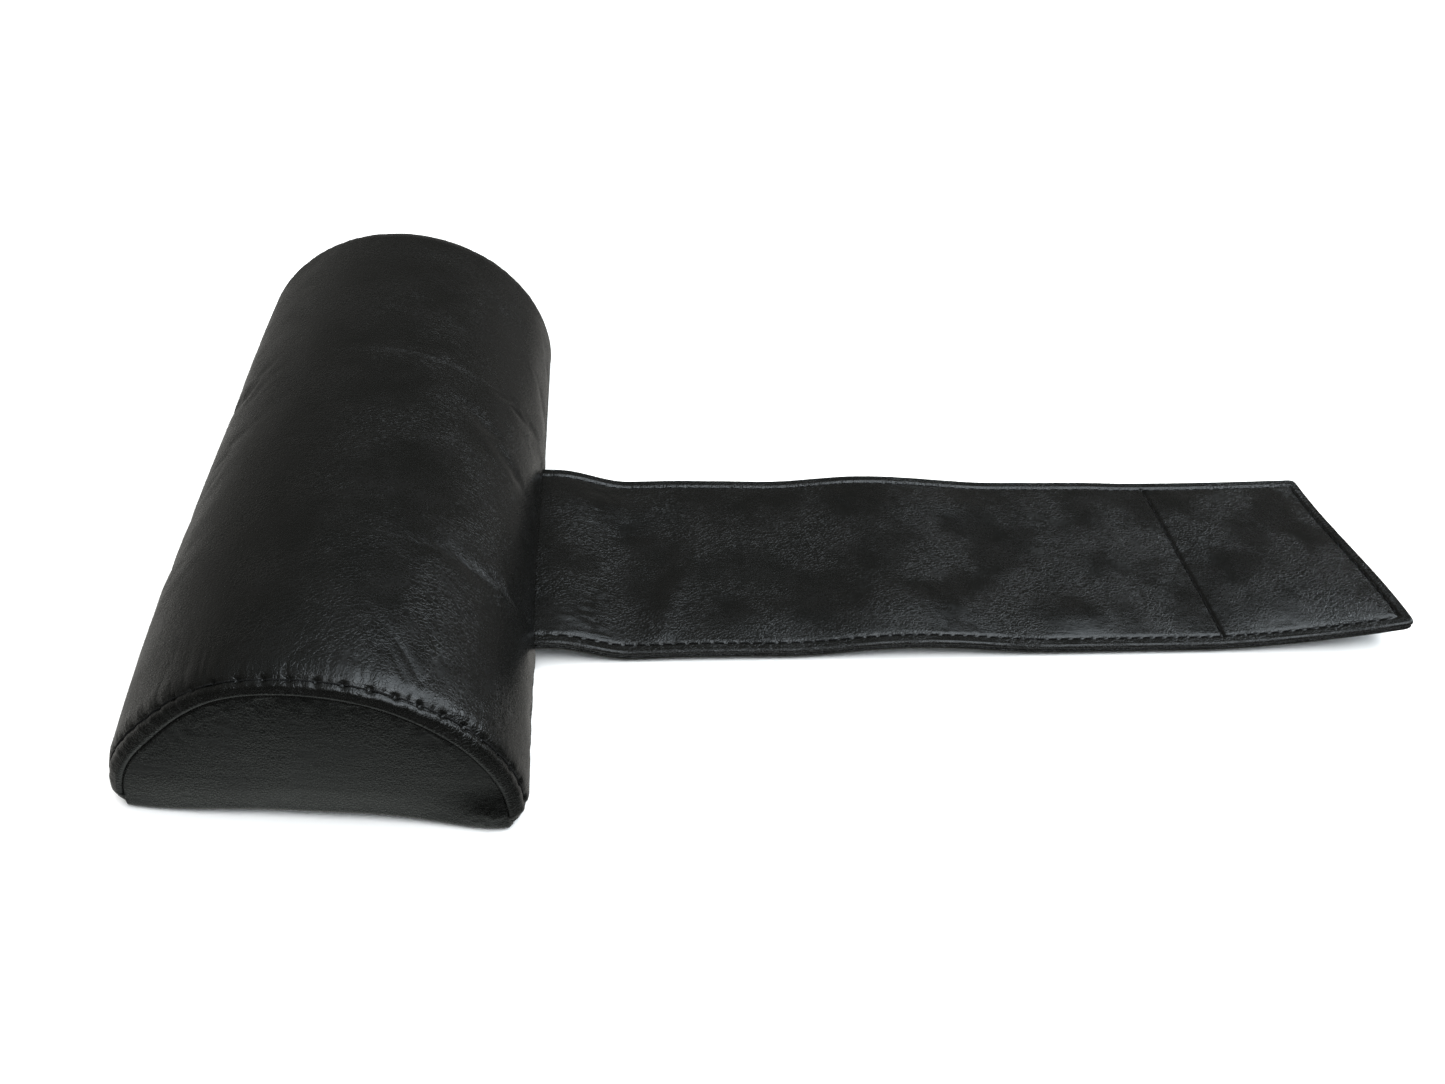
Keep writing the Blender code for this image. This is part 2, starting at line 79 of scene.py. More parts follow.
# Sizes that come from the frame.
joint_place = {j["name"]: j.get("pos_m") for j in frame["record"]["behaviour"]["joints"]}
wrap_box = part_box("wrap_cover")
strap_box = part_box("strap_a_upper")
HALF_WIDTH = -cad_box[0].x
HEIGHT = cad_box[1].z
TIP_X = cad_box[1].x
FOOT = wrap_box[0].z
SEAM_Y = wrap_box[1].y
STRAP_Y = (strap_box[0].y + strap_box[1].y) / 2
STRAP_HALF = (strap_box[1].y - strap_box[0].y) / 2
JOINT_X = [joint_place[name][0] for name in
           ("strap_root", "strap_near_bend", "strap_far_bend", "strap_end_bend")]
ROOT_X, ROOT_Z = JOINT_X[0], joint_place["strap_root"][2]
CROSS_X = (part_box("cross_seam_thread")[0].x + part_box("cross_seam_thread")[1].x) / 2

# Pad skins.
LEATHER_THICK = 0.0008
SIDE = 0.005  # height of the straight sides under the half-round
NEAR_ROUND, FAR_ROUND = 0.014, 0.014  # radius of the cover's rounding over each end
NEAR_TURN, FAR_TURN = radians(42), radians(60)  # how far that rounding turns before its seam
LIP = 0.0009
BAND_TOP, BAND_SIDE = 0.0032, 0.0052  # from the end seam to its topstitch, at the crown and low down
NEAR_SEAM_Y = 0.1449
BULGE = 0.0026
EDGE_ROUND = 0.0026
ARCH_PITCH = 0.0082
COVER_CAP = 0.0012  # the most that the cloth simulation may move a point
SWELL = 0.0006
PANEL_INSET = 0.0011

# Grids of the cover: row spacing at the seams and in the middle, and points round the arch.
SETTLE_GRID = (0.0022, 0.0036, 88)
COVER_GRID = (0.00062, 0.0016, 300)
WADDING_GRID = (0.0030, 0.0050, 64)
SETTLE_SCALE = 10
SETTLE_FRAMES = 20

# Lie of the pad: its near end is cut a little askew, its left shoulder is slack, and its base
# is drawn up between the near corners.
SKEW = -0.081
SKEW_FADE = 0.070
SLACK, SLACK_TURN = 0.0042, 2.45
CROWN_SLACK, CROWN_TURN = 0.0008, 1.60
BOW = 0.0030
LOBE = 0.0022
END_SAG = 0.0022
END_REACH = 0.034

# Strap.
STRAP_THICK = 0.00275  # half of its thickness
STRAP_START = 0.064
STRAP_TURN = 0.0128  # the strap leaves the pad a little askew
EDGE_BLOCK = 0.008
STITCH_INSET = 0.0048
STRAP_PITCH = 0.0052
FLANGE = 0.00232  # height of the stitched edge above the middle surface
DROP = 0.034
CREST_X, CREST, CREST_REACH = 0.225, 0.0035, 0.060
CURL_X = 0.335
CURL_NEAR, CURL_FAR = 0.0125, 0.0030
CUT_X = [(a + b) / 2 for a, b in zip(JOINT_X, JOINT_X[1:])]
HOOK_MARGIN = TIP_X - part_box("hook_panel")[1].x
HOOK_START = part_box("hook_panel")[0].x + 0.001
HOOK_FACE = -0.00278

# Base and zip.
BASE_ROUND = 0.008
CORNER = 0.008
ZIP_X = (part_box("zip_teeth_inner")[0].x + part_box("zip_teeth_outer")[1].x) / 2
ZIP_SLOT_HALF = 0.0045
ZIP_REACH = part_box("zip_tape_inner")[1].y + ZIP_SLOT_HALF
TOOTH_PITCH = 0.0026
BASE_PITCH = 0.0045
LOOP_BOX = [(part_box("loop_panel")[0][axis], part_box("loop_panel")[1][axis]) for axis in (0, 1)]


# Numbers


def ease(share):
    share = np.clip(share, 0.0, 1.0)
    return share * share * (3 - 2 * share)


def ease_cosine(share):
    return 0.5 - 0.5 * np.cos(pi * np.clip(share, 0, 1))


def hump(x, centre, reach):
    return np.exp(-(((x - centre) / reach) ** 2))


def stack(*parts):
    """Arrays and numbers, broadcast together, side by side along a new last axis."""
    return np.stack(np.broadcast_arrays(*parts), axis=-1)


def unit(vectors):
    return vectors / np.maximum(np.linalg.norm(vectors, axis=-1, keepdims=True), 1e-12)


def noise(places, seed):
    """Smooth value noise from -1 to 1, at places counted in cells along the last axis."""
    table = np.random.default_rng(seed).random((32, 32, 32))
    cell = np.floor(places).astype(int)
    part = ease(places - cell)
    total = np.zeros(places.shape[:-1])
    for corner in np.ndindex(2, 2, 2):
        index = (cell + corner) % 32
        share = np.prod(np.where(np.array(corner) == 1, part, 1 - part), axis=-1)
        total += table[index[..., 0], index[..., 1], index[..., 2]] * share
    return 2 * total - 1


def noise_2d(a, b, cell_a, cell_b, seed):
    return noise(stack(a / cell_a, b / cell_b, 0.37), seed)


def patches(a, b, cell_a, cell_b, seed, level, gain):
    """A soft mask from 0 to 1; the higher level is, the more of the surface it covers."""
    return ease(level + gain * noise_2d(a, b, cell_a, cell_b, seed))


def ridges(a, b, cell_a, cell_b, seed, sharp):
    """Thin creases, from 0 between them to 1 on their lines."""
    bent = 0.35 * noise_2d(a, b, 2.5 * cell_a, 2.5 * cell_b, seed + 50)
    return (1 - np.abs(noise_2d(a + bent * cell_a, b + bent * cell_b, cell_a, cell_b, seed))) ** sharp


def rounded(radius, into):
    """How far an edge rounded to this radius has drawn in, at a distance into its rounding."""
    return radius - np.sqrt(np.clip(radius ** 2 - np.clip(into, 0, None) ** 2, 0, None))


def from_edges(x, y, box):
    """Distance in from the nearest side of a rectangle."""
    (x0, x1), (y0, y1) = box
    return np.minimum(np.minimum(x - x0, x1 - x), np.minimum(y - y0, y1 - y))


def run_length(points):
    """Distance along each row of a grid's first axis."""
    steps = np.linalg.norm(np.diff(points, axis=0), axis=-1)
    return np.concatenate([np.zeros((1,) + steps.shape[1:]), np.cumsum(steps, axis=0)])


def grid_normals(points):
    return unit(np.cross(np.gradient(points, axis=0), np.gradient(points, axis=1)))


def sample(values, rows, columns, row, column):
    """Reads a grid between its points; row and column are given in the units of the two scales."""
    i = np.clip(np.searchsorted(rows, row) - 1, 0, len(rows) - 2)
    j = np.clip(np.searchsorted(columns, column) - 1, 0, len(columns) - 2)
    a = np.clip((row - rows[i]) / (rows[i + 1] - rows[i]), 0, 1)[..., None]
    b = np.clip((column - columns[j]) / (columns[j + 1] - columns[j]), 0, 1)[..., None]
    low = values[i, j] * (1 - b) + values[i, j + 1] * b
    high = values[i + 1, j] * (1 - b) + values[i + 1, j + 1] * b
    return low * (1 - a) + high * a


# Meshes


def grid_faces(rows, columns):
    start = np.arange(rows - 1)[:, None] * columns + np.arange(columns - 1)
    return stack(start, start + columns, start + columns + 1, start + 1).reshape(-1, 4)


def tube_faces(count, rings, sides):
    """Faces of many closed tubes in one mesh, each of rings x sides points."""
    start = np.arange(count)[:, None, None] * rings * sides
    i = np.arange(rings - 1)[None, :, None] * sides
    j = np.arange(sides)[None, None, :]
    k = (j + 1) % sides
    quads = stack(start + i + j, start + i + k, start + i + sides + k, start + i + sides + j)
    first = start[:, 0] + np.arange(sides)[::-1]
    last = start[:, 0] + (rings - 1) * sides + np.arange(sides)
    return quads.reshape(-1, 4).tolist() + first.tolist() + last.tolist()


def new_object(name, verts, faces, material, cloth=None, wear=None):
    """A smooth mesh; cloth is each point's place on the flat skin, and wear is how worn it is."""
    mesh = bpy.data.meshes.new(name)
    faces = faces if isinstance(faces, list) else faces.tolist()
    mesh.from_pydata(np.asarray(verts).reshape(-1, 3).tolist(), [], faces)
    mesh.shade_smooth()
    if cloth is not None:
        store(mesh, "cloth", "FLOAT_VECTOR", "vector", cloth)
    if wear is not None:
        store(mesh, "wear", "FLOAT", "value", wear)
    mesh.materials.append(material)
    obj = bpy.data.objects.new(name, mesh)
    bpy.context.scene.collection.objects.link(obj)
    return obj


def store(mesh, name, kind, field, values):
    attribute = mesh.attributes.new(name, kind, "POINT")
    attribute.data.foreach_set(field, values.reshape(-1).astype(np.float32))


def thicken(obj, thickness=LEATHER_THICK):
    """Gives a skin its thickness on the inner side."""
    made = obj.modifiers.new("thickness", "SOLIDIFY")
    made.thickness = thickness
    made.offset = -1
    bpy.context.view_layer.objects.active = obj
    bpy.ops.object.modifier_apply(modifier=made.name)


# Pad surfaces


def arch(turn, inset):
    """The half-round section; turn runs from 0 at the strap's side to pi."""
    x = (HALF_WIDTH - inset) * np.cos(turn)
    z = SIDE + (HEIGHT - SIDE - inset) * np.sin(turn)
    return x, z


def pad_shape(points):
    """Bends the ideal half-round form to the way the pad really lies."""
    x, y, z = np.moveaxis(np.array(points, float), -1, 0)
    from_seam = y + NEAR_SEAM_Y
    near = ease(1 - from_seam / SKEW_FADE)
    across, up = x / HALF_WIDTH, (z - SIDE) / (HEIGHT - SIDE)
    turn = np.arctan2(up, across)
    spoke = np.hypot(across, up)
    shoulder = SLACK * hump(turn, SLACK_TURN, 0.42) + CROWN_SLACK * hump(turn, CROWN_TURN, 0.30)
    sag = END_SAG * np.clip(1 - from_seam / END_REACH, 0, 1.2) ** 2
    slack = shoulder * near * ease(spoke / 0.9) + sag * np.clip(np.sin(turn), 0, 1) * ease(spoke)
    bow = BOW * ease((0.060 - np.abs(x)) / 0.045) * ease(1 - from_seam / 0.040)
    x = x - slack * np.cos(turn)
    z = z - slack * np.sin(turn) + bow * np.clip(1 - z / 0.030, 0, 1)
    low_end = ease(1 - z / 0.022) * ease(1 - from_seam / 0.020)
    y = y + SKEW * x * near - LOBE * hump(x, HALF_WIDTH - 0.010, 0.022) * low_end
    return stack(x, y, z)


def foot_height(y):
    """The cover's lower edge on the strap's side, lifted where the strap comes out from under it."""
    inside = STRAP_HALF + 0.0015 - np.abs(y - STRAP_Y)
    lift = ROOT_Z + STRAP_THICK + 0.0006 - FOOT
    return FOOT + lift * ease(0.5 + inside / 0.003)


def wrap_turns(y, count):
    """For each row, the turns of its points, from the foot on the strap's side to the other."""
    rise = HEIGHT - SIDE
    first = np.arcsin((foot_height(y) - SIDE) / rise)
    last = pi - asin((FOOT - SIDE) / rise)
    share = np.linspace(0, 1, count)
    return first[:, None] + (last - first[:, None]) * share[None, :]


def end_rows(radius, turn, steps):
    """(out, inset) along the cover's rounding at an end: its last points turn in at the seam."""
    angle = np.linspace(0, turn, steps + 1)[1:]
    out = radius * np.sin(angle)
    inset = radius * (1 - np.cos(angle))
    fold = np.linspace(turn, radians(165), 8)[1:]
    out_2 = out[-1] + LIP * (np.sin(fold) - sin(turn))
    inset_2 = inset[-1] + LIP * (cos(turn) - np.cos(fold))
    tail = np.array([0.4, 0.8]) * MM
    out_3 = out_2[-1] - tail * 0.966
    inset_3 = inset_2[-1] + tail * 0.26
    return np.concatenate([out, out_2, out_3]), np.concatenate([inset, inset_2, inset_3])


def graded(first, last, fine, coarse, reach):
    """Places from first to last, finer within reach of both ends."""
    made = [first]
    while made[-1] < last:
        edge = min(made[-1] - first, last - made[-1])
        made.append(made[-1] + fine + (coarse - fine) * min(1.0, edge / reach))
    made = np.array(made)
    return first + (made - first) * (last - first) / (made[-1] - first)


def wrap_rows(fine, coarse):
    """(y, inset, distance from the near seam, distance from the far seam) for each row."""
    near_steps = int(NEAR_ROUND * NEAR_TURN / fine)
    far_steps = int(FAR_ROUND * FAR_TURN / fine)
    out_n, inset_n = end_rows(NEAR_ROUND, NEAR_TURN, near_steps)
    out_f, inset_f = end_rows(FAR_ROUND, FAR_TURN, far_steps)
    y_near = -(NEAR_SEAM_Y - NEAR_ROUND * sin(NEAR_TURN))
    y_far = SEAM_Y - FAR_ROUND * sin(FAR_TURN)
    middle = graded(y_near, y_far, fine, coarse, 0.035)
    y = np.concatenate([(y_near - out_n)[::-1], middle, y_far + out_f])
    inset = np.concatenate([inset_n[::-1], np.zeros(len(middle)), inset_f])
    run = run_length(stack(y, inset))
    near = run - run[len(out_n) - near_steps]
    far = run[-1 - (len(out_f) - far_steps)] - run
    return y, inset, near, far


def wrap_form(fine, coarse, columns):
    """The cover's plain form: points, distances from both seams and distance along the arch."""
    y, inset, near, far = wrap_rows(fine, coarse)
    turns = wrap_turns(y, columns)
    along = run_length(stack(*arch(turns[len(y) // 2], 0.0)))
    foot = np.minimum(along, along[-1] - along)
    tuck = 0.0012 * (1 - ease(foot / 0.0012))
    x, z = arch(turns, inset[:, None] + tuck[None, :])
    return stack(x, y[:, None], z), near, far, along


def settle(points, held):
    """Cloth simulation of the cover over its filling: returns how far each point moves.

    The skin is a little larger than the form and is pressed out by the filling, so that it
    swells between the seams and gathers beside them. It is run SETTLE_SCALE times life size.
    """
    faces = grid_faces(*points.shape[:2])
    cloth_obj = new_object("settling_cover", points * SETTLE_SCALE, faces, leather)
    group = cloth_obj.vertex_groups.new(name="held")
    group.add(np.flatnonzero(held).tolist(), 1.0, "REPLACE")
    cloth = cloth_obj.modifiers.new("cloth", "CLOTH")
    settings = {
        "quality": 5, "mass": 0.4, "tension_stiffness": 60, "compression_stiffness": 60,
        "shear_stiffness": 30, "bending_stiffness": 0.8, "shrink_min": -0.004,
        "use_pressure": True, "uniform_pressure_force": 0.8, "vertex_group_mass": "held",
    }
    for key, value in settings.items():
        setattr(cloth.settings, key, value)
    cloth.settings.effector_weights.gravity = 0
    cloth.collision_settings.use_collision = False
    scene = bpy.context.scene
    for number in range(1, SETTLE_FRAMES + 1):
        scene.frame_set(number)
    graph = bpy.context.evaluated_depsgraph_get()
    settled = cloth_obj.evaluated_get(graph).data
    moved = np.empty(len(settled.vertices) * 3, np.float32)
    settled.vertices.foreach_get("co", moved)
    scene.frame_set(1)
    bpy.data.objects.remove(cloth_obj)
    return moved.reshape(points.shape) / SETTLE_SCALE - points


def seam_band(share):
    """Distance from the seam to the topstitch; share runs from 0 to 1 over the arch."""
    return BAND_SIDE - (BAND_SIDE - BAND_TOP) * np.sin(share * pi) ** 2


def wrap_relief(near, far, along):
    """How far the cover stands off its plain form, from its seams, stitches and creases."""
    near, far, along = near[:, None], far[:, None], along[None, :]
    share = along / along[0, -1]
    width = seam_band(share)
    step = (along / ARCH_PITCH) % 1.0
    crown = 0.35 + 0.65 * ease((np.sin(share * pi) - 0.35) / 0.4)
    relief = SWELL + wrap_creases(near, along, share)
    for edge, depth, seed in ((near, 1.0, 11), (far, 0.8, 31)):
        past = np.clip(edge, 0, None)
        band = hump(edge, 0.45 * width, 0.36 * width)
        line = hump(edge, width, 0.0008)
        hole = hump(step, 0.5, 0.12) * hump(edge, width, 0.0010) * (1 - 0.6 * ease((share - 0.6) / 0.2))
        beside = hump(edge, width - 0.0020, 0.0015) + hump(edge, width + 0.0026, 0.0020)
        puff = hump(step, 0.0, 0.30) * beside
        tight = 0.6 + 0.4 * noise_2d(along, edge, 0.020, 0.050, seed)
        gather = noise_2d(along, edge, 0.0014, 0.0080, seed + 1)
        gather = gather + 0.9 * noise_2d(along, edge, 0.0030, 0.0120, seed + 2)
        gather = gather * tight * crown * ease((edge + 0.0003) / 0.0012) * np.exp(-past / 0.0075)
        rays = crown * ridges(along, edge, 0.0042, 0.024, seed + 3, 5.0)
        rays = rays * patches(along, edge, 0.030, 0.040, seed + 4, 0.5, 1.6)
        reach = ease((edge - 0.5 * width) / 0.003) * np.exp(-np.clip(edge - width, 0, None) / 0.013)
        seam = 0.40 * band - 0.55 * line - 1.20 * hole + 0.16 * puff
        relief = relief + depth * MM * (seam + 0.27 * gather - 0.45 * rays * reach)
    return relief


def wrap_creases(near, along, share):
    """The creases away from the seams: over the shoulder, and down the side above the strap."""
    relief = 0.45 * noise_2d(along, near, 0.045, 0.060, 5)
    relief += 0.09 * noise_2d(along, near, 0.014, 0.022, 6)
    lines = ridges(along - 0.6 * near, near + 0.4 * along, 0.0060, 0.030, 7, 6.0)
    relief -= 0.45 * lines * hump(share, 0.33, 0.07) * hump(near, 0.022, 0.013)
    fine = ridges(along, near, 0.0110, 0.0022, 8, 3.0)
    fine = fine * patches(along, near, 0.030, 0.035, 9, 0.35, 1.7)
    relief -= 0.16 * fine * hump(share, 0.10, 0.10) * hump(near, 0.105, 0.050)
    fine = ridges(along, near, 0.0090, 0.0020, 18, 3.0)
    fine = fine * patches(along, near, 0.035, 0.045, 19, 0.1, 1.5)
    return MM * (relief - 0.07 * fine * ease((near - 0.02) / 0.02))


def cover_points(fine, coarse, columns, coarse_move):
    """The finished cover as a grid, with its flat coordinates and the scales along both ways."""
    points, near, far, along = wrap_form(fine, coarse, columns)
    if coarse_move is not None:
        move, move_rows, move_columns = coarse_move
        rows, cols = np.meshgrid(near, along, indexing="ij")
        points = points + sample(move, move_rows, move_columns, rows, cols)
    normals = grid_normals(points)
    points = pad_shape(points + normals * wrap_relief(near, far, along)[..., None])
    return points, near, far, along, stack(along[None, :], near[:, None], 0.0)


def make_cover():
    """The outer cover over the top and round both ends."""
    move = None
    form, near, far, along = wrap_form(*SETTLE_GRID)
    held = np.zeros(form.shape[:2], bool)
    held[np.minimum(near, far) < 0.0004] = True
    held[:, [0, -1]] = True
    move = settle(form, held)
    length = np.linalg.norm(move, axis=-1, keepdims=True)
    move = move * np.minimum(1.0, COVER_CAP / np.maximum(length, 1e-9))
    move = (move, near, along)
    points, near, far, along, flat = cover_points(*COVER_GRID, move)
    lips = 0.4 * (hump(near, 0.0, 0.0007) + hump(far, 0.0, 0.0007))
    wear = np.broadcast_to(lips[:, None], points.shape[:2])
    obj = new_object("pad_cover", points, grid_faces(*points.shape[:2]), leather, flat, wear)
    thicken(obj)
    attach(obj, "pad")
    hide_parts("wrap_cover")
    return points, near, far, along


def end_skin(side, seam_out, seam_in, shape_seed):
    """A D-shaped end panel: columns run from the arch seam down to the bottom edge."""
    columns, rows = 260, 84
    inset = seam_in + PANEL_INSET
    turns = np.linspace(0.034, pi - 0.034, columns)
    x, top = arch(turns, inset)
    along = run_length(stack(x, top))
    drop = np.linspace(0, 1, rows) ** 1.5
    z = top * (1 - drop[:, None])
    x, along = np.broadcast_to(x, z.shape), np.broadcast_to(along, z.shape)
    wide, tall = HALF_WIDTH - inset, HEIGHT - SIDE - inset
    spoke = np.hypot(x / wide, np.clip(z - SIDE, 0, None) / tall)
    depth = np.clip((1 - spoke) * tall, 0, None)
    out = seam_out + 0.0001 - 0.0016 * (1 - ease((depth + 0.0003) / 0.0017))
    out = out + BULGE * (1 - np.exp(-depth / 0.013)) * (0.65 + 0.35 * ease(z / 0.02))
    out = out - rounded(EDGE_ROUND, EDGE_ROUND - z)
    out = out + end_relief(x, z, depth, along, shape_seed)
    points = pad_shape(stack(x, side * out, z))
    flat = stack(z, x + 0.3 * side, 0.1)
    return (points, flat) if side < 0 else (points[:, ::-1], flat[:, ::-1])


def end_relief(x, z, depth, along, seed):
    """Soft hollows, puckers under the seam and the crumple at the bottom corner."""
    relief = MM * 0.35 * noise_2d(x, z, 0.040, 0.030, seed)
    crown = ease((z - 0.020) / 0.03)
    pucker = noise_2d(along, depth, 0.0017, 0.0050, seed + 1)
    pucker += 0.8 * ridges(along, depth, 0.0035, 0.0040, seed + 2, 3.0)
    relief += MM * 0.34 * pucker * crown * ease(depth / 0.0015) * np.exp(-depth / 0.0055)
    sweep = noise_2d(x, z, 0.0100, 0.0022, seed + 3)
    relief += MM * 0.035 * sweep * ease(depth / 0.004)
    corner = hump(x, HALF_WIDTH - 0.012, 0.009) * hump(z, 0.008, 0.007)
    crumple = noise_2d(x + z, z - x, 0.0035, 0.0020, seed + 4)
    return relief + MM * 0.22 * corner * crumple + MM * 0.9 * corner


def make_end(name, side, seam_out, seam_in, seed):
    points, flat = end_skin(side, seam_out, seam_in, seed)
    faces = grid_faces(*points.shape[:2])[:, ::-1]
    obj = new_object(f"pad_end_{name}", points, faces, end_leather, flat)
    thicken(obj)
    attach(obj, "pad")
    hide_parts(f"end_panel_{name}")


# Strap surfaces


def middle_height(x):
    low = STRAP_THICK + 0.0003
    drop = ease_cosine((x - ROOT_X) / DROP)
    crest = CREST * ease_cosine(1 - np.abs(x - CREST_X) / CREST_REACH)
    return ROOT_Z + (low - ROOT_Z) * drop + crest


def lie(x, v):
    """Height of the strap's middle surface, with its curled end and its soft waves."""
    curl = CURL_NEAR + (CURL_FAR - CURL_NEAR) * ease((v + STRAP_HALF) / (2 * STRAP_HALF))
    rise = curl * np.clip((x - CURL_X) / (TIP_X - CURL_X), 0, 1) ** 1.8
    wave = 0.5 + 0.5 * noise_2d(x, v, 0.030, 0.055, 41)
    loose = ease((x - ROOT_X - 0.03) / 0.03) * ease((CROSS_X - x) / 0.03)
    return middle_height(x) + rise + MM * 0.9 * wave * loose


def strap_point(x, v, height):
    """The point of the strap that lies at x along it, v across it and height above its middle."""
    step = 2e-4
    slope = (lie(x + step, v) - lie(x - step, v)) / (2 * step)
    length = np.sqrt(1 + slope * slope)
    across = STRAP_Y + v + STRAP_TURN * (x - ROOT_X)
    return stack(x - height * slope / length, across, lie(x, v) + height / length)


def edge_distance(x, v):
    """Distance in from the strap's stitched outline."""
    return np.minimum(STRAP_HALF - np.abs(v), TIP_X - x)


def top_height(x, v, depth):
    """Height of the upper skin above the middle surface; depth is the distance from the edge."""
    inner = np.clip(depth - STITCH_INSET, 0, None)
    seam = np.abs(x - CROSS_X)
    puff = (1 - np.exp(-inner / 0.0075)) * (1 - 0.75 * np.exp(-seam / 0.009))
    end = ease((x - CROSS_X) / 0.01)
    height = FLANGE - 0.0003 + puff * (0.0008 + 0.0007 * end)
    height = height - 0.00055 * hump(depth, STITCH_INSET, 0.0008)
    height = height - 0.00095 * hump(seam, 0, 0.0008) * ease((depth - 0.0040) / 0.0015)
    height = np.where(depth < STITCH_INSET - 0.0008, np.maximum(height, FLANGE - 0.0001), height)
    return height + top_relief(x, v, depth, inner, seam)


PUFFS = [
    # The strap's soft swellings: x, v, reach along, reach across, slant, and height in mm.
    (0.100, 0.032, 0.022, 0.010, 0.0, 1.3),
    (0.124, -0.028, 0.006, 0.022, 0.25, 1.4),
    (0.084, -0.030, 0.010, 0.018, 0.0, 0.9),
    (0.165, -0.036, 0.018, 0.009, 0.0, 0.9),
    (0.225, -0.032, 0.030, 0.011, 0.1, 1.2),
    (0.300, -0.036, 0.016, 0.010, 0.0, 1.1),
    (0.255, 0.034, 0.025, 0.009, 0.0, 0.9),
    (0.395, -0.024, 0.018, 0.018, 0.0, 0.8),
]


def top_relief(x, v, depth, inner, seam):
    """The upper skin's swellings, creases, gathers along its seams and stitch holes."""
    relief = 0.28 * noise_2d(x, v, 0.026, 0.036, 42) + 0.11 * noise_2d(x, v, 0.010, 0.014, 43)
    for spot_x, spot_v, reach_x, reach_v, slant, height in PUFFS:
        shifted = x - spot_x - slant * (v - spot_v)
        relief += height * hump(shifted, 0, reach_x) * hump(v, spot_v, reach_v)
    fine = ridges(x, v, 0.0080, 0.0021, 44, 3.0) * patches(x, v, 0.020, 0.024, 45, 0.45, 1.5)
    relief -= 0.40 * fine * (0.25 + 0.9 * hump(x, 0.086, 0.014))
    cross = ridges(x + 0.5 * v, v, 0.0024, 0.0100, 46, 3.0)
    relief -= 0.34 * cross * patches(x, v, 0.026, 0.026, 47, -0.1, 1.7)
    relief += 0.30 * np.exp(-seam / 0.006) * noise_2d(x, v, 0.012, 0.0032, 51)
    step = (v / STRAP_PITCH) % 1.0
    relief -= 0.45 * (hump(step, 0.08, 0.12) + hump(step, 0.92, 0.12)) * hump(seam, 0, 0.0010)
    relief = relief * ease(inner / 0.004)
    long_axis = np.where(STRAP_HALF - np.abs(v) < TIP_X - x, x, v)
    gather = noise_2d(long_axis, depth, 0.0023, 0.0060, 48) * np.exp(-inner / 0.005)
    tight = 0.35 + 0.65 * patches(x, v, 0.030, 0.060, 49, 0.5, 1.0)
    relief += 0.20 * gather * tight * ease((depth - 0.0012) / 0.001)
    step = (long_axis / STRAP_PITCH) % 1.0
    hole = (hump(step, 0.06, 0.11) + hump(step, 0.94, 0.11)) * hump(depth, STITCH_INSET, 0.0009)
    return MM * (relief - (0.75 - 0.40 * ease(v / 0.02)) * hole)


def bottom_height(x, v, depth):
    """Depth of the lower skin below the middle surface."""
    height = 0.00255 - 0.00040 * hump(depth, STITCH_INSET, 0.0009)
    height = height - 0.0004 * hump(np.abs(x - CROSS_X), 0, 0.0012) * ease((depth - 0.003) / 0.002)
    inside = ease((depth - STITCH_INSET) / 0.004)
    return height + MM * 0.10 * inside * noise_2d(x, v, 0.010, 0.012, 61)


def strap_rings():
    """(inset, height rule or height) from the top's inner ring round the edge to the bottom's."""
    top = [8.0, 7.3, 6.7, 6.2, 5.75, 5.4, 5.1, 4.8, 4.5, 4.2, 3.85, 3.45, 3.0, 2.5, 2.0, 1.6]
    rings = [(d * MM, "top") for d in top]
    # The two lips: first and last angle, inset and height of the centre, and radius.
    for first, last, inset, height, radius in ((90, 242, 1.25, 1.07, 1.25),
                                               (118, 270, 1.40, -1.28, 1.22)):
        for angle in np.linspace(radians(first), radians(last), 9):
            rings.append(((inset + radius * cos(angle)) * MM, (height + radius * sin(angle)) * MM))
    return rings + [(d * MM, "bottom") for d in (2.2, 3.2, 4.2, 4.8, 5.4, 6.2, 7.0, 8.0)]


def ring_outline(inset, stations, crossings, turns):
    """(x, v) round one ring: down the near edge, round the tip and back up the far edge."""
    reach = EDGE_BLOCK - inset
    corner_x, corner_v = TIP_X - EDGE_BLOCK, STRAP_HALF - EDGE_BLOCK
    power = 2 / 6.5  # squarer than a circle
    near = stack(stations, -corner_v - reach)
    turn = stack(corner_x + reach * np.sin(turns) ** power, -corner_v - reach * np.cos(turns) ** power)
    tip = stack(corner_x + reach, crossings)
    far = [piece[::-1] * (1, -1) for piece in (turn, near)]
    return np.concatenate([near, turn, tip, *far])


def strap_stations(corner_x):
    """Stations along the strap: six to a stitch, closer at the cross seam, and one at each cut."""
    marks = np.array([STRAP_START] + CUT_X + [corner_x])
    step = STRAP_PITCH / 6
    regular = np.arange(STRAP_START // step + 1, corner_x / step) * step
    seam = np.linspace(CROSS_X - 0.003, CROSS_X + 0.003, 16)
    extra = np.concatenate([regular[np.abs(regular - CROSS_X) > 0.0034], seam])
    clear = np.min(np.abs(extra[:, None] - marks), axis=1) > 0.0002
    return np.sort(np.concatenate([marks, extra[clear]]))


def skin_height(rule, x, v, depth):
    """Height of a skin above the middle surface, by its rule or as given."""
    if rule == "top":
        return top_height(x, v, depth)
    if rule == "bottom":
        return -bottom_height(x, v, depth)
    return rule + MM * 0.05 * noise_2d(x, v, 0.004, 0.004, 71)


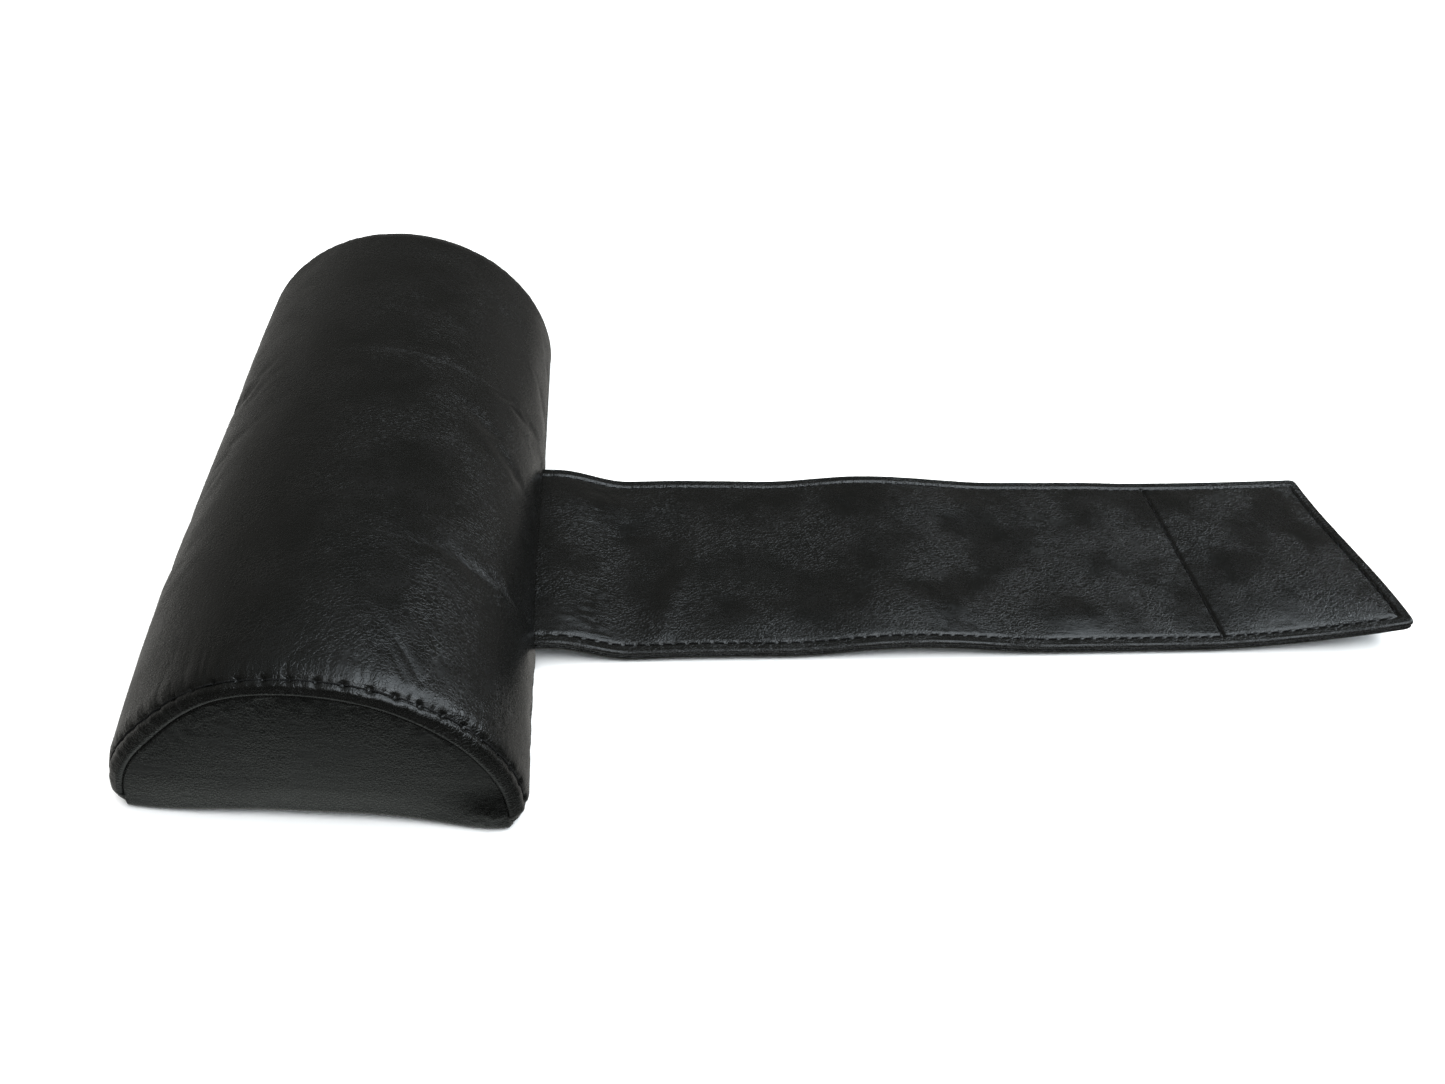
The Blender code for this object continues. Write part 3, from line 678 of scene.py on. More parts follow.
def strap_surface():
    """The whole strap: vertices, faces, the station of each face, flat coordinates and wear."""
    corner_x, corner_v = TIP_X - EDGE_BLOCK, STRAP_HALF - EDGE_BLOCK
    stations = strap_stations(corner_x)
    crossings = np.linspace(-corner_v, corner_v, 84)
    turns = np.linspace(0, pi / 2, 12)[1:-1]
    rings = strap_rings()
    outlines = [ring_outline(inset, stations, crossings, turns) for inset, _ in rings]
    verts, flats, wears = [], [], []
    outward = 0.0
    for (inset, rule), outline in zip(rings, outlines):
        x, v = outline.T
        verts.append(strap_point(x, v, skin_height(rule, x, v, np.full(len(x), inset))))
        flats.append(stack(v + np.sign(v) * outward, x, 0.2))
        wears.append(np.full(len(x), np.exp(-(inset / 0.0006) ** 2) if inset < 0.0012 else 0.0))
        if rule != "top":
            outward += 0.0006
    n, across, count = len(stations), len(crossings), len(outlines[0])
    ring_x = outlines[0][:, 0]
    faces = [grid_faces(len(rings), count)]
    places = [np.tile((ring_x[:-1] + ring_x[1:]) / 2, len(rings) - 1)]
    gx, gv = np.meshgrid(stations, crossings[1:-1], indexing="ij")
    start = count * len(rings)
    for rule, ring, level in (("top", 0, 0.2), ("bottom", len(rings) - 1, 0.5)):
        height = skin_height(rule, gx, gv, edge_distance(gx, gv))
        verts.append(strap_point(gx, gv, height).reshape(-1, 3))
        flats.append(stack(gv, gx, level).reshape(-1, 3))
        wears.append(np.zeros(gx.size))
        base = ring * count
        grid = np.empty((n + 1, across), int)
        grid[:n, 1:-1] = start + np.arange(gx.size).reshape(gx.shape)
        grid[:n, 0] = base + np.arange(n)
        grid[:n, -1] = base + count - 1 - np.arange(n)
        grid[n] = base + n + len(turns) + np.arange(across)
        start += gx.size
        quads = grid.reshape(-1)[grid_faces(n + 1, across)]
        faces.append(quads if rule == "top" else quads[:, ::-1])
        places.append(np.repeat(np.append((stations[:-1] + stations[1:]) / 2, corner_x), across - 1))
    return [np.concatenate(parts) for parts in (verts, faces, places, flats, wears)]


def make_strap():
    verts, faces, places, flats, wears = strap_surface()
    whole = bpy.data.meshes.new("whole")
    whole.from_pydata(verts.tolist(), [], faces.tolist())
    normals = np.empty(len(verts) * 3, np.float32)
    whole.vertices.foreach_get("normal", normals)
    normals = normals.reshape(-1, 3)
    bpy.data.meshes.remove(whole)
    for name, (letter, low, high) in STRAP_PARTS.items():
        chosen = faces[(places > low) & (places < high)]
        used, index = np.unique(chosen, return_inverse=True)
        obj = new_object(f"strap_{name}", verts[used], index.reshape(-1, 4), strap_leather,
                         flats[used], wears[used])
        finish_strap_piece(obj, normals[used])
        blend_strap(obj, name)
        nodes = [n for n in frame["nodes"] if n.startswith(f"strap_{letter}_") and "thread" not in n]
        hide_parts(*nodes, *(["strap_anchor"] if name == "root" else []))


def finish_strap_piece(obj, normals):
    """Closes the piece where it was cut, welds its corners and keeps the whole strap's shading."""
    bm = bmesh.new()
    bm.from_mesh(obj.data)
    key = bm.verts.layers.float_vector.new("smooth_normal")
    for vert, normal in zip(bm.verts, normals):
        vert[key] = Vector(normal.tolist())
    bmesh.ops.remove_doubles(bm, verts=bm.verts, dist=1e-6)
    bmesh.ops.holes_fill(bm, edges=[e for e in bm.edges if e.is_boundary], sides=0)
    kept = [vert[key].copy() for vert in bm.verts]
    bm.to_mesh(obj.data)
    bm.free()
    obj.data.attributes.remove(obj.data.attributes["smooth_normal"])
    obj.data.normals_split_custom_set_from_vertices(kept)


# Each stretch of the strap: the letter in its CAD nodes, and where it starts and ends.
STRAP_PARTS = {
    "root": ("a", STRAP_START - 1, CUT_X[0]),
    "near": ("b", CUT_X[0], CUT_X[1]),
    "far": ("c", CUT_X[1], CUT_X[2]),
    "end": ("end", CUT_X[2], TIP_X + 1),
}
BENDS = {
    "root": ("pad", "strap_a", ROOT_X - 0.003, ROOT_X + 0.021),
    "near": ("strap_a", "strap_b", JOINT_X[1] - 0.016, JOINT_X[1] + 0.016),
    "far": ("strap_b", "strap_c", JOINT_X[2] - 0.016, JOINT_X[2] + 0.016),
    "end": ("strap_c", "strap_end", JOINT_X[3] - 0.010, JOINT_X[3] + 0.010),
}


def blend_strap(obj, name):
    first, second, start, end = BENDS[name]
    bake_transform(obj)


# Stitches


def stitch_mesh(name, centres, ways, ups, length, radius, sink, material):
    """Many stitches in one mesh: each a short round thread that dives in at both ends."""
    along = np.array([-1.0, -0.9, -0.62, -0.25, 0.25, 0.62, 0.9, 1.0])
    girth = np.array([0.35, 0.85, 1.0, 1.0, 1.0, 1.0, 0.85, 0.35])
    ways = unit(ways)
    aside = unit(np.cross(ways, ups))
    ups = np.cross(aside, ways)
    turn = np.linspace(0, 2 * pi, 6, endpoint=False)
    run = along * length / 2
    spine = centres[:, None, :] + ways[:, None, :] * run[:, None]
    spine = spine + ups[:, None, :] * (0.25 * radius - sink * along ** 4)[:, None]
    ring = np.cos(turn)[:, None] * aside[:, None, :] + np.sin(turn)[:, None] * ups[:, None, :]
    verts = spine[:, :, None, :] + radius * girth[:, None, None] * ring[:, None, :, :]
    which = np.arange(len(centres))[:, None, None] * 0.01
    cloth = stack(run[:, None], turn * radius, which)
    faces = tube_faces(len(centres), len(along), len(turn))
    obj = new_object(name, verts, faces, material, cloth)
    return obj


def make_arch_stitches(name, points, edge, along):
    """The topstitch round the arch, in the line pressed into the cover beside the seam."""
    places = np.arange(1, int(along[-1] / ARCH_PITCH) + 1) * ARCH_PITCH
    places = places[places < along[-1] - 0.4 * ARCH_PITCH]
    rows = seam_band(places / along[-1])
    centres, before, after = [sample(points, edge, along, rows, places + step)
                              for step in (0, -MM, MM)]
    ups = sample(grid_normals(points), edge, along, rows, places)
    obj = stitch_mesh(f"stitches_{name}_arch", centres, after - before, ups,
                      0.90 * ARCH_PITCH, 0.00036, 0.0005, dark_thread)
    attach(obj, "pad")
    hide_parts(f"thread_{name}_arch")


def stitch_places():
    """(x, v, dx, dv, row) of the strap's stitches: near edge, far edge, tip and cross seam."""
    edge = STRAP_HALF - STITCH_INSET
    tip = TIP_X - STITCH_INSET
    runs = (np.arange(int(ROOT_X / STRAP_PITCH) + 1, int(tip / STRAP_PITCH)) + 0.5) * STRAP_PITCH
    half_count = int(edge / STRAP_PITCH)
    crossings = (np.arange(-half_count, half_count) + 0.5) * STRAP_PITCH
    return np.concatenate([stack(runs, -edge, 1, 0, 0), stack(runs, edge, 1, 0, 1),
                           stack(tip, crossings, 0, 1, 2), stack(CROSS_X, crossings, 0, 1, 3)])


def make_strap_stitches():
    """The stitches on both skins; those along the far edge are painted paler as a highlight."""
    places = stitch_places()
    for name, (_, low, high) in STRAP_PARTS.items():
        within = (places[:, 0] > low) & (places[:, 0] < high)
        lit = places[:, 4] == 1
        # The far row takes the paler thread: a painted highlight on the same black thread.
        for row, wanted, material_shown, share in (("far", lit, thread, 0.52),
                                           ("near", ~lit, dark_thread, 0.74)):
            x, v, dx, dv, kind = places[within & wanted].T
            depth = edge_distance(x, v)
            top = top_height(x, v, depth) + np.where(kind == 3, 0.0002, 0.00036)
            under = bottom_height(x, v, depth) + 0.00008
            shown = []
            for height, flip in ((top, 1), (-under, -1)):
                place = strap_point(x, v, height)
                ahead = (strap_point(x + MM * dx, v + MM * dv, height)
                         - strap_point(x - MM * dx, v - MM * dv, height))
                shown.append((place, ahead, (strap_point(x, v, height + MM) - place) * flip))
            place, ahead, up = [np.concatenate(parts) for parts in zip(*shown)]
            obj = stitch_mesh(f"stitches_{row}_{name}", place, ahead, up,
                              share * STRAP_PITCH, 0.00026, 0.00040, material_shown)
            blend_strap(obj, name)
            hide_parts(*THREAD_NODES[name])


THREAD_NODES = {
    "root": ("strap_a_thread_near", "strap_a_thread_far"),
    "near": ("strap_b_thread_near", "strap_b_thread_far"),
    "far": ("strap_c_thread_near", "strap_c_thread_far"),
    "end": ("strap_end_thread", "cross_seam_thread"),
}


# Fillings


def make_wadding():
    """The wadding under the cover, following it a skin's thickness below."""
    form, near, far, along = wrap_form(*WADDING_GRID)
    form = form - 0.0024 * grid_normals(form)
    inside = np.minimum(along, along[-1] - along) > 0.011
    form = form[np.ix_(np.minimum(near, far) > 0.004, inside)]
    relief = MM * 0.5 * noise(form / 0.012, 101)[..., None] * grid_normals(form)
    points = pad_shape(form + relief)
    obj = new_object("wadding_layer", points, grid_faces(*points.shape[:2]), wadding)
    thicken(obj, 0.0036)
    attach(obj, "pad")
    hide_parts("wadding_wrap")


def make_end_wadding(name, side, seam_out, seam_in):
    columns, rows, foot = 70, 24, 0.004
    turns = np.linspace(0.15, pi - 0.15, columns)
    x, top = arch(turns, seam_in + 0.006)
    z = foot + (top - foot) * (1 - np.linspace(0, 1, rows)[:, None])
    out = seam_out - 0.0022 + 0.0012 * np.clip(1 - (x / HALF_WIDTH) ** 2 - (z / HEIGHT) ** 2, 0, 1)
    points = pad_shape(stack(x, side * out, z))
    faces = grid_faces(rows, columns)[:, ::side]
    obj = new_object(f"end_wadding_{name}_layer", points, faces, wadding)
    thicken(obj, 0.0020)
    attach(obj, "pad")
    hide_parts(f"end_wadding_{name}")


# Base


def base_section(side, seam_gap):
    """(x, z) from the zip's seam out to the side seam, both edges turned in."""
    radius = BASE_ROUND
    first = ZIP_X + side * seam_gap
    last = side * (HALF_WIDTH - radius)
    flat = np.linspace(first, last, max(3, round(abs(last - first) / 0.0013)))
    turn = np.linspace(0, pi / 2 - asin((radius - FOOT + 0.0004) / radius), 12)[1:]
    rim_x = last + side * radius * np.sin(turn)
    rim_z = radius * (1 - np.cos(turn))
    tuck_x = rim_x[-1] - side * np.array([0.0004, 0.0010, 0.0018])
    tuck_z = rim_z[-1] + np.array([0.0003, 0.0004, 0.0004])
    x = np.concatenate([flat, rim_x, tuck_x])
    z = np.concatenate([np.zeros(len(flat)), rim_z, tuck_z])
    return x, z


def make_base(name, side, seed):
    """One strip of the base, from the zip's seam to the side seam."""
    last_near = -(NEAR_SEAM_Y + BULGE - EDGE_ROUND)
    last_far = SEAM_Y + BULGE - EDGE_ROUND
    y = graded(last_near, last_far, 0.0009, 0.0016, 0.02)
    x, z = base_section(side, 0.00015)
    y, x, z = y[:, None], x[None, :], z[None, :]
    near_in = rounded(CORNER, last_near + CORNER - y)
    far_in = rounded(FAR_ROUND, y - last_far + FAR_ROUND)
    inset = 0.6 * (near_in + far_in)
    open_slot = ease((ZIP_REACH - np.abs(y)) / 0.003)
    from_seam = np.abs(x - ZIP_X)
    shift = ZIP_SLOT_HALF * open_slot * (1 - ease(from_seam / 0.020))
    px = x + side * shift - np.sign(x) * inset * ease(np.abs(x) / HALF_WIDTH)
    tuck = 0.0014 * (1 - ease(from_seam / 0.0013))
    ends = np.minimum(y - last_near, last_far - y)
    tuck = tuck + 0.0012 * (1 - ease(ends / 0.0012))
    pocket = inside_box(px, y, LOOP_BOX, 0.0012)
    pz = z + tuck + 0.0012 * pocket
    free = ease(ends / 0.004) * (1 - pocket)
    pz = pz + MM * 0.25 * (1 + noise_2d(px, y, 0.020, 0.030, seed)) * free * ease(from_seam / 0.006)
    points = pad_shape(stack(px, y, pz))
    faces = grid_faces(*points.shape[:2])[:, ::side]
    obj = new_object(f"pad_{name}", points, faces, base_leather, stack(px, y, 0.3))
    thicken(obj)
    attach(obj, "pad")
    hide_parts(name)


def inside_box(x, y, box, soft):
    """A soft-edged mask: 1 inside the box and 0 outside."""
    return ease(from_edges(x, y, box) / soft + 1.0)


def make_base_stitches():
    """Stitches round the loop panel and along both sides of the zip."""
    (x0, x1), (y0, y1) = LOOP_BOX
    inset, pitch = 0.0022, BASE_PITCH
    runs_x = np.arange(x0 + inset, x1 - inset, pitch)
    runs_y = np.arange(y0 + inset, y1 - inset, pitch)
    zip_y = np.arange(-ZIP_REACH + 0.004, ZIP_REACH - 0.004, pitch)
    rows = [(runs_x, y0 + inset, 0.0003, 1, 0), (runs_x, y1 - inset, 0.0003, 1, 0),
            (x0 + inset, runs_y, 0.0003, 0, 1), (x1 - inset, runs_y, 0.0003, 0, 1)]
    rows += [(ZIP_X + way * (ZIP_SLOT_HALF + 0.0026), zip_y, 0.00055, 0, 1) for way in (-1, 1)]
    x, y, z, way_x, way_y = np.concatenate([stack(*row) for row in rows]).T
    ups = np.broadcast_to([0.0, 0.0, -1.0], (len(x), 3))
    obj = stitch_mesh("stitches_base", stack(x, y, z), stack(way_x, way_y, 0.0), ups,
                      0.74 * pitch, 0.00025, 0.0005, dark_thread)
    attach(obj, "pad")


# Hook and loop


def hoop_mesh(feet, ups, sides_way, height, reach, radius, opening):
    """Many small bent wires: whole loops, or hooks where opening leaves the far leg short."""
    bend = np.linspace(0, pi * (1 - opening), 6)
    across = 0.5 * reach * (1 - np.cos(bend))
    rise = height * np.sin(bend) ** 0.8
    spine = feet[:, None, :] + ups[:, None, :] * rise[:, None] + sides_way[:, None, :] * across[:, None]
    ahead = unit(np.gradient(spine, axis=1))
    flat = unit(np.cross(ups, sides_way))
    other = np.cross(ahead, np.broadcast_to(flat[:, None, :], ahead.shape))
    turn = np.linspace(0, 2 * pi, 4, endpoint=False)
    verts = (spine[:, :, None, :] + radius * np.cos(turn)[:, None] * flat[:, None, None, :]
             + radius * np.sin(turn)[:, None] * other[:, :, None, :])
    return verts, tube_faces(len(feet), len(bend), len(turn))


def make_loop_panel():
    """The loop tape let into the base: a woven ground with a pile of small loops."""
    (x0, x1), (y0, y1) = LOOP_BOX
    gx, gy = np.meshgrid(np.linspace(x0, x1, 50), np.linspace(y0, y1, 66), indexing="ij")
    edge = from_edges(gx, gy, LOOP_BOX)
    gz = 0.0006 - 0.0002 * ease(edge / 0.001) + MM * 0.06 * noise_2d(gx, gy, 0.004, 0.004, 111)
    rng = np.random.default_rng(112)
    margin = 0.003
    fx, fy = np.meshgrid(np.arange(x0 + margin, x1 - margin, 0.0019),
                         np.arange(y0 + margin, y1 - margin, 0.0021))
    count = fx.size
    feet = stack(fx.ravel(), fy.ravel(), 0.0005)
    feet[:, :2] += rng.uniform(-0.0006, 0.0006, (count, 2))
    lean = stack(rng.normal(0, 0.5, count), rng.normal(0, 0.5, count), -1.0)
    spin = rng.uniform(0, 2 * pi, count)
    ways = stack(np.cos(spin), np.sin(spin), 0.0)
    panel = new_object("loop_panel_tape", stack(gx, gy, gz), grid_faces(*gx.shape)[:, ::-1], loop_tape)
    thicken(panel, 0.0005)
    loops = hoop_mesh(feet, unit(lean), ways, 0.00062, 0.0014, 0.00010, 0.0)
    pile = new_object("loop_panel_pile", *loops, loop_tape)
    for obj in (panel, pile):
        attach(obj, "pad")
    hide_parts("loop_panel")


def make_hook_panel():
    """The hook tape sewn under the strap's end."""
    low, high = HOOK_START, TIP_X - HOOK_MARGIN
    edge_v = STRAP_HALF - HOOK_MARGIN
    gx, gv = np.meshgrid(np.linspace(low, high, 60), np.linspace(-edge_v, edge_v, 72), indexing="ij")
    edge = from_edges(gx, gv, ((low, high), (-edge_v, edge_v)))
    ground = strap_point(gx, gv, -0.00236 - 0.00050 * ease(edge / 0.0007))
    panel = new_object("hook_panel_tape", ground, grid_faces(*gx.shape)[:, ::-1], hook_tape,
                       stack(gx, gv, 0.0))
    thicken(panel, 0.0004)
    margin, pitch = 0.003, 0.0021
    fx, fv = np.meshgrid(np.arange(low + margin, high - margin, pitch),
                         np.arange(-edge_v + margin, edge_v - margin, 0.0018))
    fx = fx + pitch / 2 * (np.arange(fx.shape[0])[:, None] % 2)
    fx, fv = fx.ravel(), fv.ravel()
    feet = strap_point(fx, fv, HOOK_FACE)
    ups = unit(strap_point(fx, fv, -0.0036) - feet)
    ways = unit(strap_point(fx + MM, fv, HOOK_FACE) - feet)
    ways[1::2] *= -1
    hooks = hoop_mesh(feet, ups, ways, 0.00034, 0.0007, 0.00009, 0.22)
    hooks = new_object("hook_panel_hooks", *hooks, hook_tape)
    for obj in (panel, hooks):
        blend_strap(obj, "end")
    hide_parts("hook_panel")


# Zip


def make_teeth():
    """Both rows of moulded teeth, meshed along the middle of the slot."""
    bm = bmesh.new()
    bmesh.ops.create_cube(bm, size=1.0)
    bmesh.ops.bevel(bm, geom=bm.edges[:], offset=0.18, segments=2, affect="EDGES")
    bm.verts.index_update()
    shape = np.array([v.co[:] for v in bm.verts])
    faces = [[v.index for v in f.verts] for f in bm.faces]
    bm.free()
    for name, side in (("inner", -1), ("outer", 1)):
        low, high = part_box(f"zip_teeth_{name}")
        root, tip = (low.x if side < 0 else high.x), ZIP_X - side * 0.0007
        size = np.array([abs(tip - root), 0.52 * TOOTH_PITCH, high.z - low.z])
        narrow = 1 - 0.30 * np.clip(-side * shape[:, :1], 0, 1) * np.array([0, 1, 0.6])
        verts, all_faces = [], []
        for index in range(int((high.y - low.y) / TOOTH_PITCH)):
            y = low.y + (index + 0.5 + 0.25 * side) * TOOTH_PITCH
            verts.append([(root + tip) / 2, y, (low.z + high.z) / 2] + shape * narrow * size)
            all_faces += [[index * len(shape) + i for i in face] for face in faces]
        obj = new_object(f"zip_teeth_{name}_row", verts, all_faces, zip_plastic)
        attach(obj, "pad")
        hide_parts(f"zip_teeth_{name}")


def dress_frame_nodes():
    """The CAD nodes that stay get their finishes."""
    finishes = {"foam_core": foam, "zip_tape_inner": zip_tape, "zip_tape_outer": zip_tape,
                "zip_stop_front": zip_metal, "zip_stop_rear": zip_metal,
                "zip_slider": zip_metal, "zip_pull": zip_metal}
    for node, material_shown in finishes.items():
        mesh = frame["nodes"][node].data
        mesh.materials.clear()
        mesh.materials.append(material_shown)


# Materials. Texture coordinates are in millimetres, except where a weave counts its threads.


class Nodes:
    """Short ways to add nodes to a material or a world; each gives the new node's output."""

    def __init__(self, tree):
        self.tree = tree

    def plug(self, socket, value):
        if isinstance(value, bpy.types.NodeSocket):
            self.tree.links.new(value, socket)
        else:
            socket.default_value = value

    def add(self, kind, inputs=None, output=0, **properties):
        node = self.tree.nodes.new(f"ShaderNode{kind}")
        for key, value in properties.items():
            setattr(node, key, value)
        for key, value in (inputs or {}).items():
            self.plug(node.inputs[key], value)
        return node.outputs[output]

    def shade(self, **values):
        """Fills the shader's sockets; _ stands for a space in a socket's name."""
        sockets = self.tree.nodes["Principled BSDF"].inputs
        for key, value in values.items():
            self.plug(sockets[key.replace("_", " ")], value)

    def times(self, vector, *factors):
        return self.add("VectorMath", {0: vector, 1: factors}, operation="MULTIPLY")

    def object_place(self, scale=1000):
        return self.times(self.add("TexCoord", output="Object"), scale, scale, scale)

    def cloth_place(self, scale=1000):
        cloth = self.add("Attribute", output="Vector", attribute_name="cloth")
        return self.times(cloth, scale, scale, scale)

    def split(self, vector):
        return self.add("SeparateXYZ", {0: vector}).node.outputs

    def noise(self, place, scale, detail=2.0, **more):
        return self.add("TexNoise", {"Vector": place, "Scale": scale, "Detail": detail, **more})

    def cell_edges(self, place, scale):
        return self.add("TexVoronoi", {"Vector": place, "Scale": scale}, feature="DISTANCE_TO_EDGE")

    def remap(self, value, low, high, first=0.0, last=1.0, **properties):
        return self.add("MapRange", {"Value": value, "From Min": low, "From Max": high,
                                     "To Min": first, "To Max": last}, **properties)

    def maths(self, operation, *values):
        return self.add("Math", dict(enumerate(values)), operation=operation)

    def mix(self, factor, first, second):
        return self.add("Mix", {"Factor": factor, "A": first, "B": second}, 2, data_type="RGBA")

    def tint(self, factor, dark, light):
        return self.mix(factor, (*dark, 1), (*light, 1))

    def bump(self, height, depth, strength=1.0):
        return self.add("Bump", {"Height": height, "Strength": strength, "Distance": depth})


def new_material(name):
    made = bpy.data.materials.new(name)
    made.use_nodes = True
    return made, Nodes(made.node_tree)


def grey(level):
    return (level, level, level)


def leather_material(name, dark, light, rough, specular, bump_depth, faint_and_strong):
    """Grained leather: pebbles, creases and fine grain, stronger in some patches than in others."""
    made, nodes = new_material(name)
    place = nodes.cloth_place()
    warp = nodes.add("TexNoise", {"Vector": place, "Scale": 0.25, "Detail": 2.0}, "Color")
    shift = nodes.add("VectorMath", {0: warp, 1: grey(2.4), 2: place}, operation="MULTIPLY_ADD")
    pebble = nodes.remap(nodes.cell_edges(shift, 0.72), 0.0, 0.22, interpolation_type="SMOOTHSTEP")
    creases = nodes.noise(nodes.times(shift, 0.55, 0.16, 0.5), 1.6, 5.0, Roughness=0.6)
    tiny = nodes.noise(place, 1.9, 3.0)
    strong = nodes.remap(nodes.noise(place, 0.035, 3.0), 0.40, 0.62, *faint_and_strong)
    height = nodes.maths("MULTIPLY", pebble, strong)
    height = nodes.maths("MULTIPLY_ADD", creases, 1.3, height)
    height = nodes.maths("MULTIPLY_ADD", tiny, 0.5, height)
    cloud = nodes.noise(place, 0.06, 4.0)
    worn = nodes.add("Attribute", output="Fac", attribute_name="wear")
    rubbed = nodes.remap(cloud, 0.3, 0.7, rough - 0.05, rough + 0.06)
    nodes.shade(Base_Color=nodes.mix(worn, nodes.tint(cloud, dark, light), WORN_BLACK),
                Roughness=nodes.maths("MULTIPLY_ADD", pebble, -0.08, rubbed),
                Specular_IOR_Level=specular, Normal=nodes.bump(height, bump_depth))
    return made


def fibre_material(name, dark, light, scale, depth, rough, sheen):
    """Felted or spun fibre: tangled noise in its height and colour."""
    made, nodes = new_material(name)
    place = nodes.object_place()
    tangle = nodes.noise(place, scale, 6.0, Distortion=2.5)
    tone = nodes.remap(nodes.maths("MULTIPLY", tangle, nodes.noise(place, 0.12)), 0.12, 0.38)
    nodes.shade(Base_Color=nodes.tint(tone, dark, light), Normal=nodes.bump(tangle, depth),
                Roughness=nodes.remap(tangle, 0.0, 1.0, rough - 0.06, rough),
                Sheen_Weight=sheen, Specular_IOR_Level=0.2)
    return made


def foam_material():
    """Open-celled foam, yellowed unevenly."""
    made, nodes = new_material("foam")
    place = nodes.object_place()
    wall = nodes.remap(nodes.cell_edges(place, 1.3), 0.0, 0.25)
    cloud = nodes.noise(place, 0.05, 3.0)
    nodes.shade(Base_Color=nodes.tint(cloud, (0.66, 0.60, 0.42), (0.76, 0.72, 0.56)),
                Normal=nodes.bump(wall, -0.0003), Roughness=nodes.remap(wall, 0.0, 1.0, 0.8, 0.98))
    return made


def thread_material(name, dark, light, rough):
    """Twisted thread: slanting strands along each stitch."""
    made, nodes = new_material(name)
    place = nodes.cloth_place()
    parts = nodes.split(place)
    slant = nodes.maths("MULTIPLY_ADD", parts["Y"], 1.6, parts["X"])
    strand = nodes.maths("SINE", nodes.maths("MULTIPLY", slant, 9.0))
    fuzz = nodes.noise(place, 3.0, 3.0)
    height = nodes.maths("MULTIPLY_ADD", fuzz, 0.8, strand)
    nodes.shade(Base_Color=nodes.tint(nodes.remap(strand, -1.0, 1.0), dark, light),
                Normal=nodes.bump(height, 0.00004), Specular_IOR_Level=0.3,
                Roughness=nodes.remap(fuzz, 0.0, 1.0, rough - 0.1, rough + 0.1))
    return made


def weave_material(name, dark, light, threads, depth):
    """Plain weave of so many threads per metre: crossed ribs, one over one."""
    made, nodes = new_material(name)
    place = nodes.object_place(threads)
    parts = nodes.split(place)
    ribs = [nodes.maths("SINE", nodes.maths("MULTIPLY", parts[axis], pi)) for axis in "XY"]
    fuzz = nodes.noise(place, 1.2, 4.0)
    height = nodes.maths("MULTIPLY_ADD", fuzz, 0.8, nodes.maths("MULTIPLY", *ribs))
    nodes.shade(Base_Color=nodes.tint(nodes.remap(height, -1.0, 1.8), dark, light),
                Normal=nodes.bump(height, depth), Roughness=nodes.remap(fuzz, 0.0, 1.0, 0.7, 0.95),
                Sheen_Weight=0.25, Specular_IOR_Level=0.25)
    return made


def metal_material():
    """Black lacquered zinc, rubbed bright in places."""
    made, nodes = new_material("zip_metal")
    place = nodes.object_place()
    lines = nodes.noise(nodes.times(place, 3.0, 0.4, 3.0), 2.0, 4.0)
    worn = nodes.remap(nodes.noise(place, 0.5, 4.0), 0.55, 0.70)
    nodes.shade(Base_Color=nodes.tint(worn, (0.03, 0.03, 0.031), (0.16, 0.16, 0.165)),
                Roughness=nodes.remap(lines, 0.0, 1.0, 0.25, 0.5), Metallic=0.9,
                Normal=nodes.bump(lines, 0.00002, 0.5))
    return made


def plastic_material():
    """Moulded black plastic with a faint grain."""
    made, nodes = new_material("zip_plastic")
    grain = nodes.noise(nodes.object_place(), 2.5, 4.0)
    nodes.shade(Base_Color=nodes.tint(grain, grey(0.012), grey(0.022)),
                Roughness=nodes.remap(grain, 0.0, 1.0, 0.3, 0.5),
                Normal=nodes.bump(grain, 0.00003, 0.4))
    return made


BLACK = ((0.0020, 0.0023, 0.0020), (0.0036, 0.0035, 0.0032))
FADED_BLACK = ((0.0060, 0.0062, 0.0060), (0.0090, 0.0090, 0.0084))
WORN_BLACK = (0.0065, 0.0063, 0.0060, 1)
leather = leather_material("faux_leather", *BLACK, 0.31, 0.50, 0.00011, (0.15, 0.9))
end_leather = leather_material("end_leather", *BLACK, 0.32, 0.50, 0.00007, (0.3, 0.9))
strap_leather = leather_material("strap_leather", *BLACK, 0.30, 0.50, 0.00012, (0.1, 1.2))
base_leather = leather_material("base_leather", *FADED_BLACK, 0.52, 0.35, 0.00020, (0.15, 1.3))
# A paler copy of the black thread: painted highlight for the strap's far-edge stitches.
thread = thread_material("thread", (0.040, 0.042, 0.046), (0.085, 0.089, 0.096), 0.55)
dark_thread = thread_material("dark_thread", grey(0.0015), grey(0.004), 0.75)
wadding = fibre_material("wadding", (0.70, 0.70, 0.68), (0.88, 0.88, 0.86), 0.9, 0.0004, 0.98, 0.3)
foam = foam_material()
hook_tape = weave_material("hook_tape", grey(0.006), grey(0.018), 1300, 0.00008)
loop_tape = fibre_material("loop_tape", grey(0.006), (0.020, 0.020, 0.021), 1.6, 0.0002, 0.95, 0.4)
zip_tape = weave_material("zip_tape", grey(0.008), grey(0.020), 1500, 0.00007)
zip_metal = metal_material()
zip_plastic = plastic_material()


# Stage

FLOOR_HALF = 12.0
WALL_GAP = 0.5


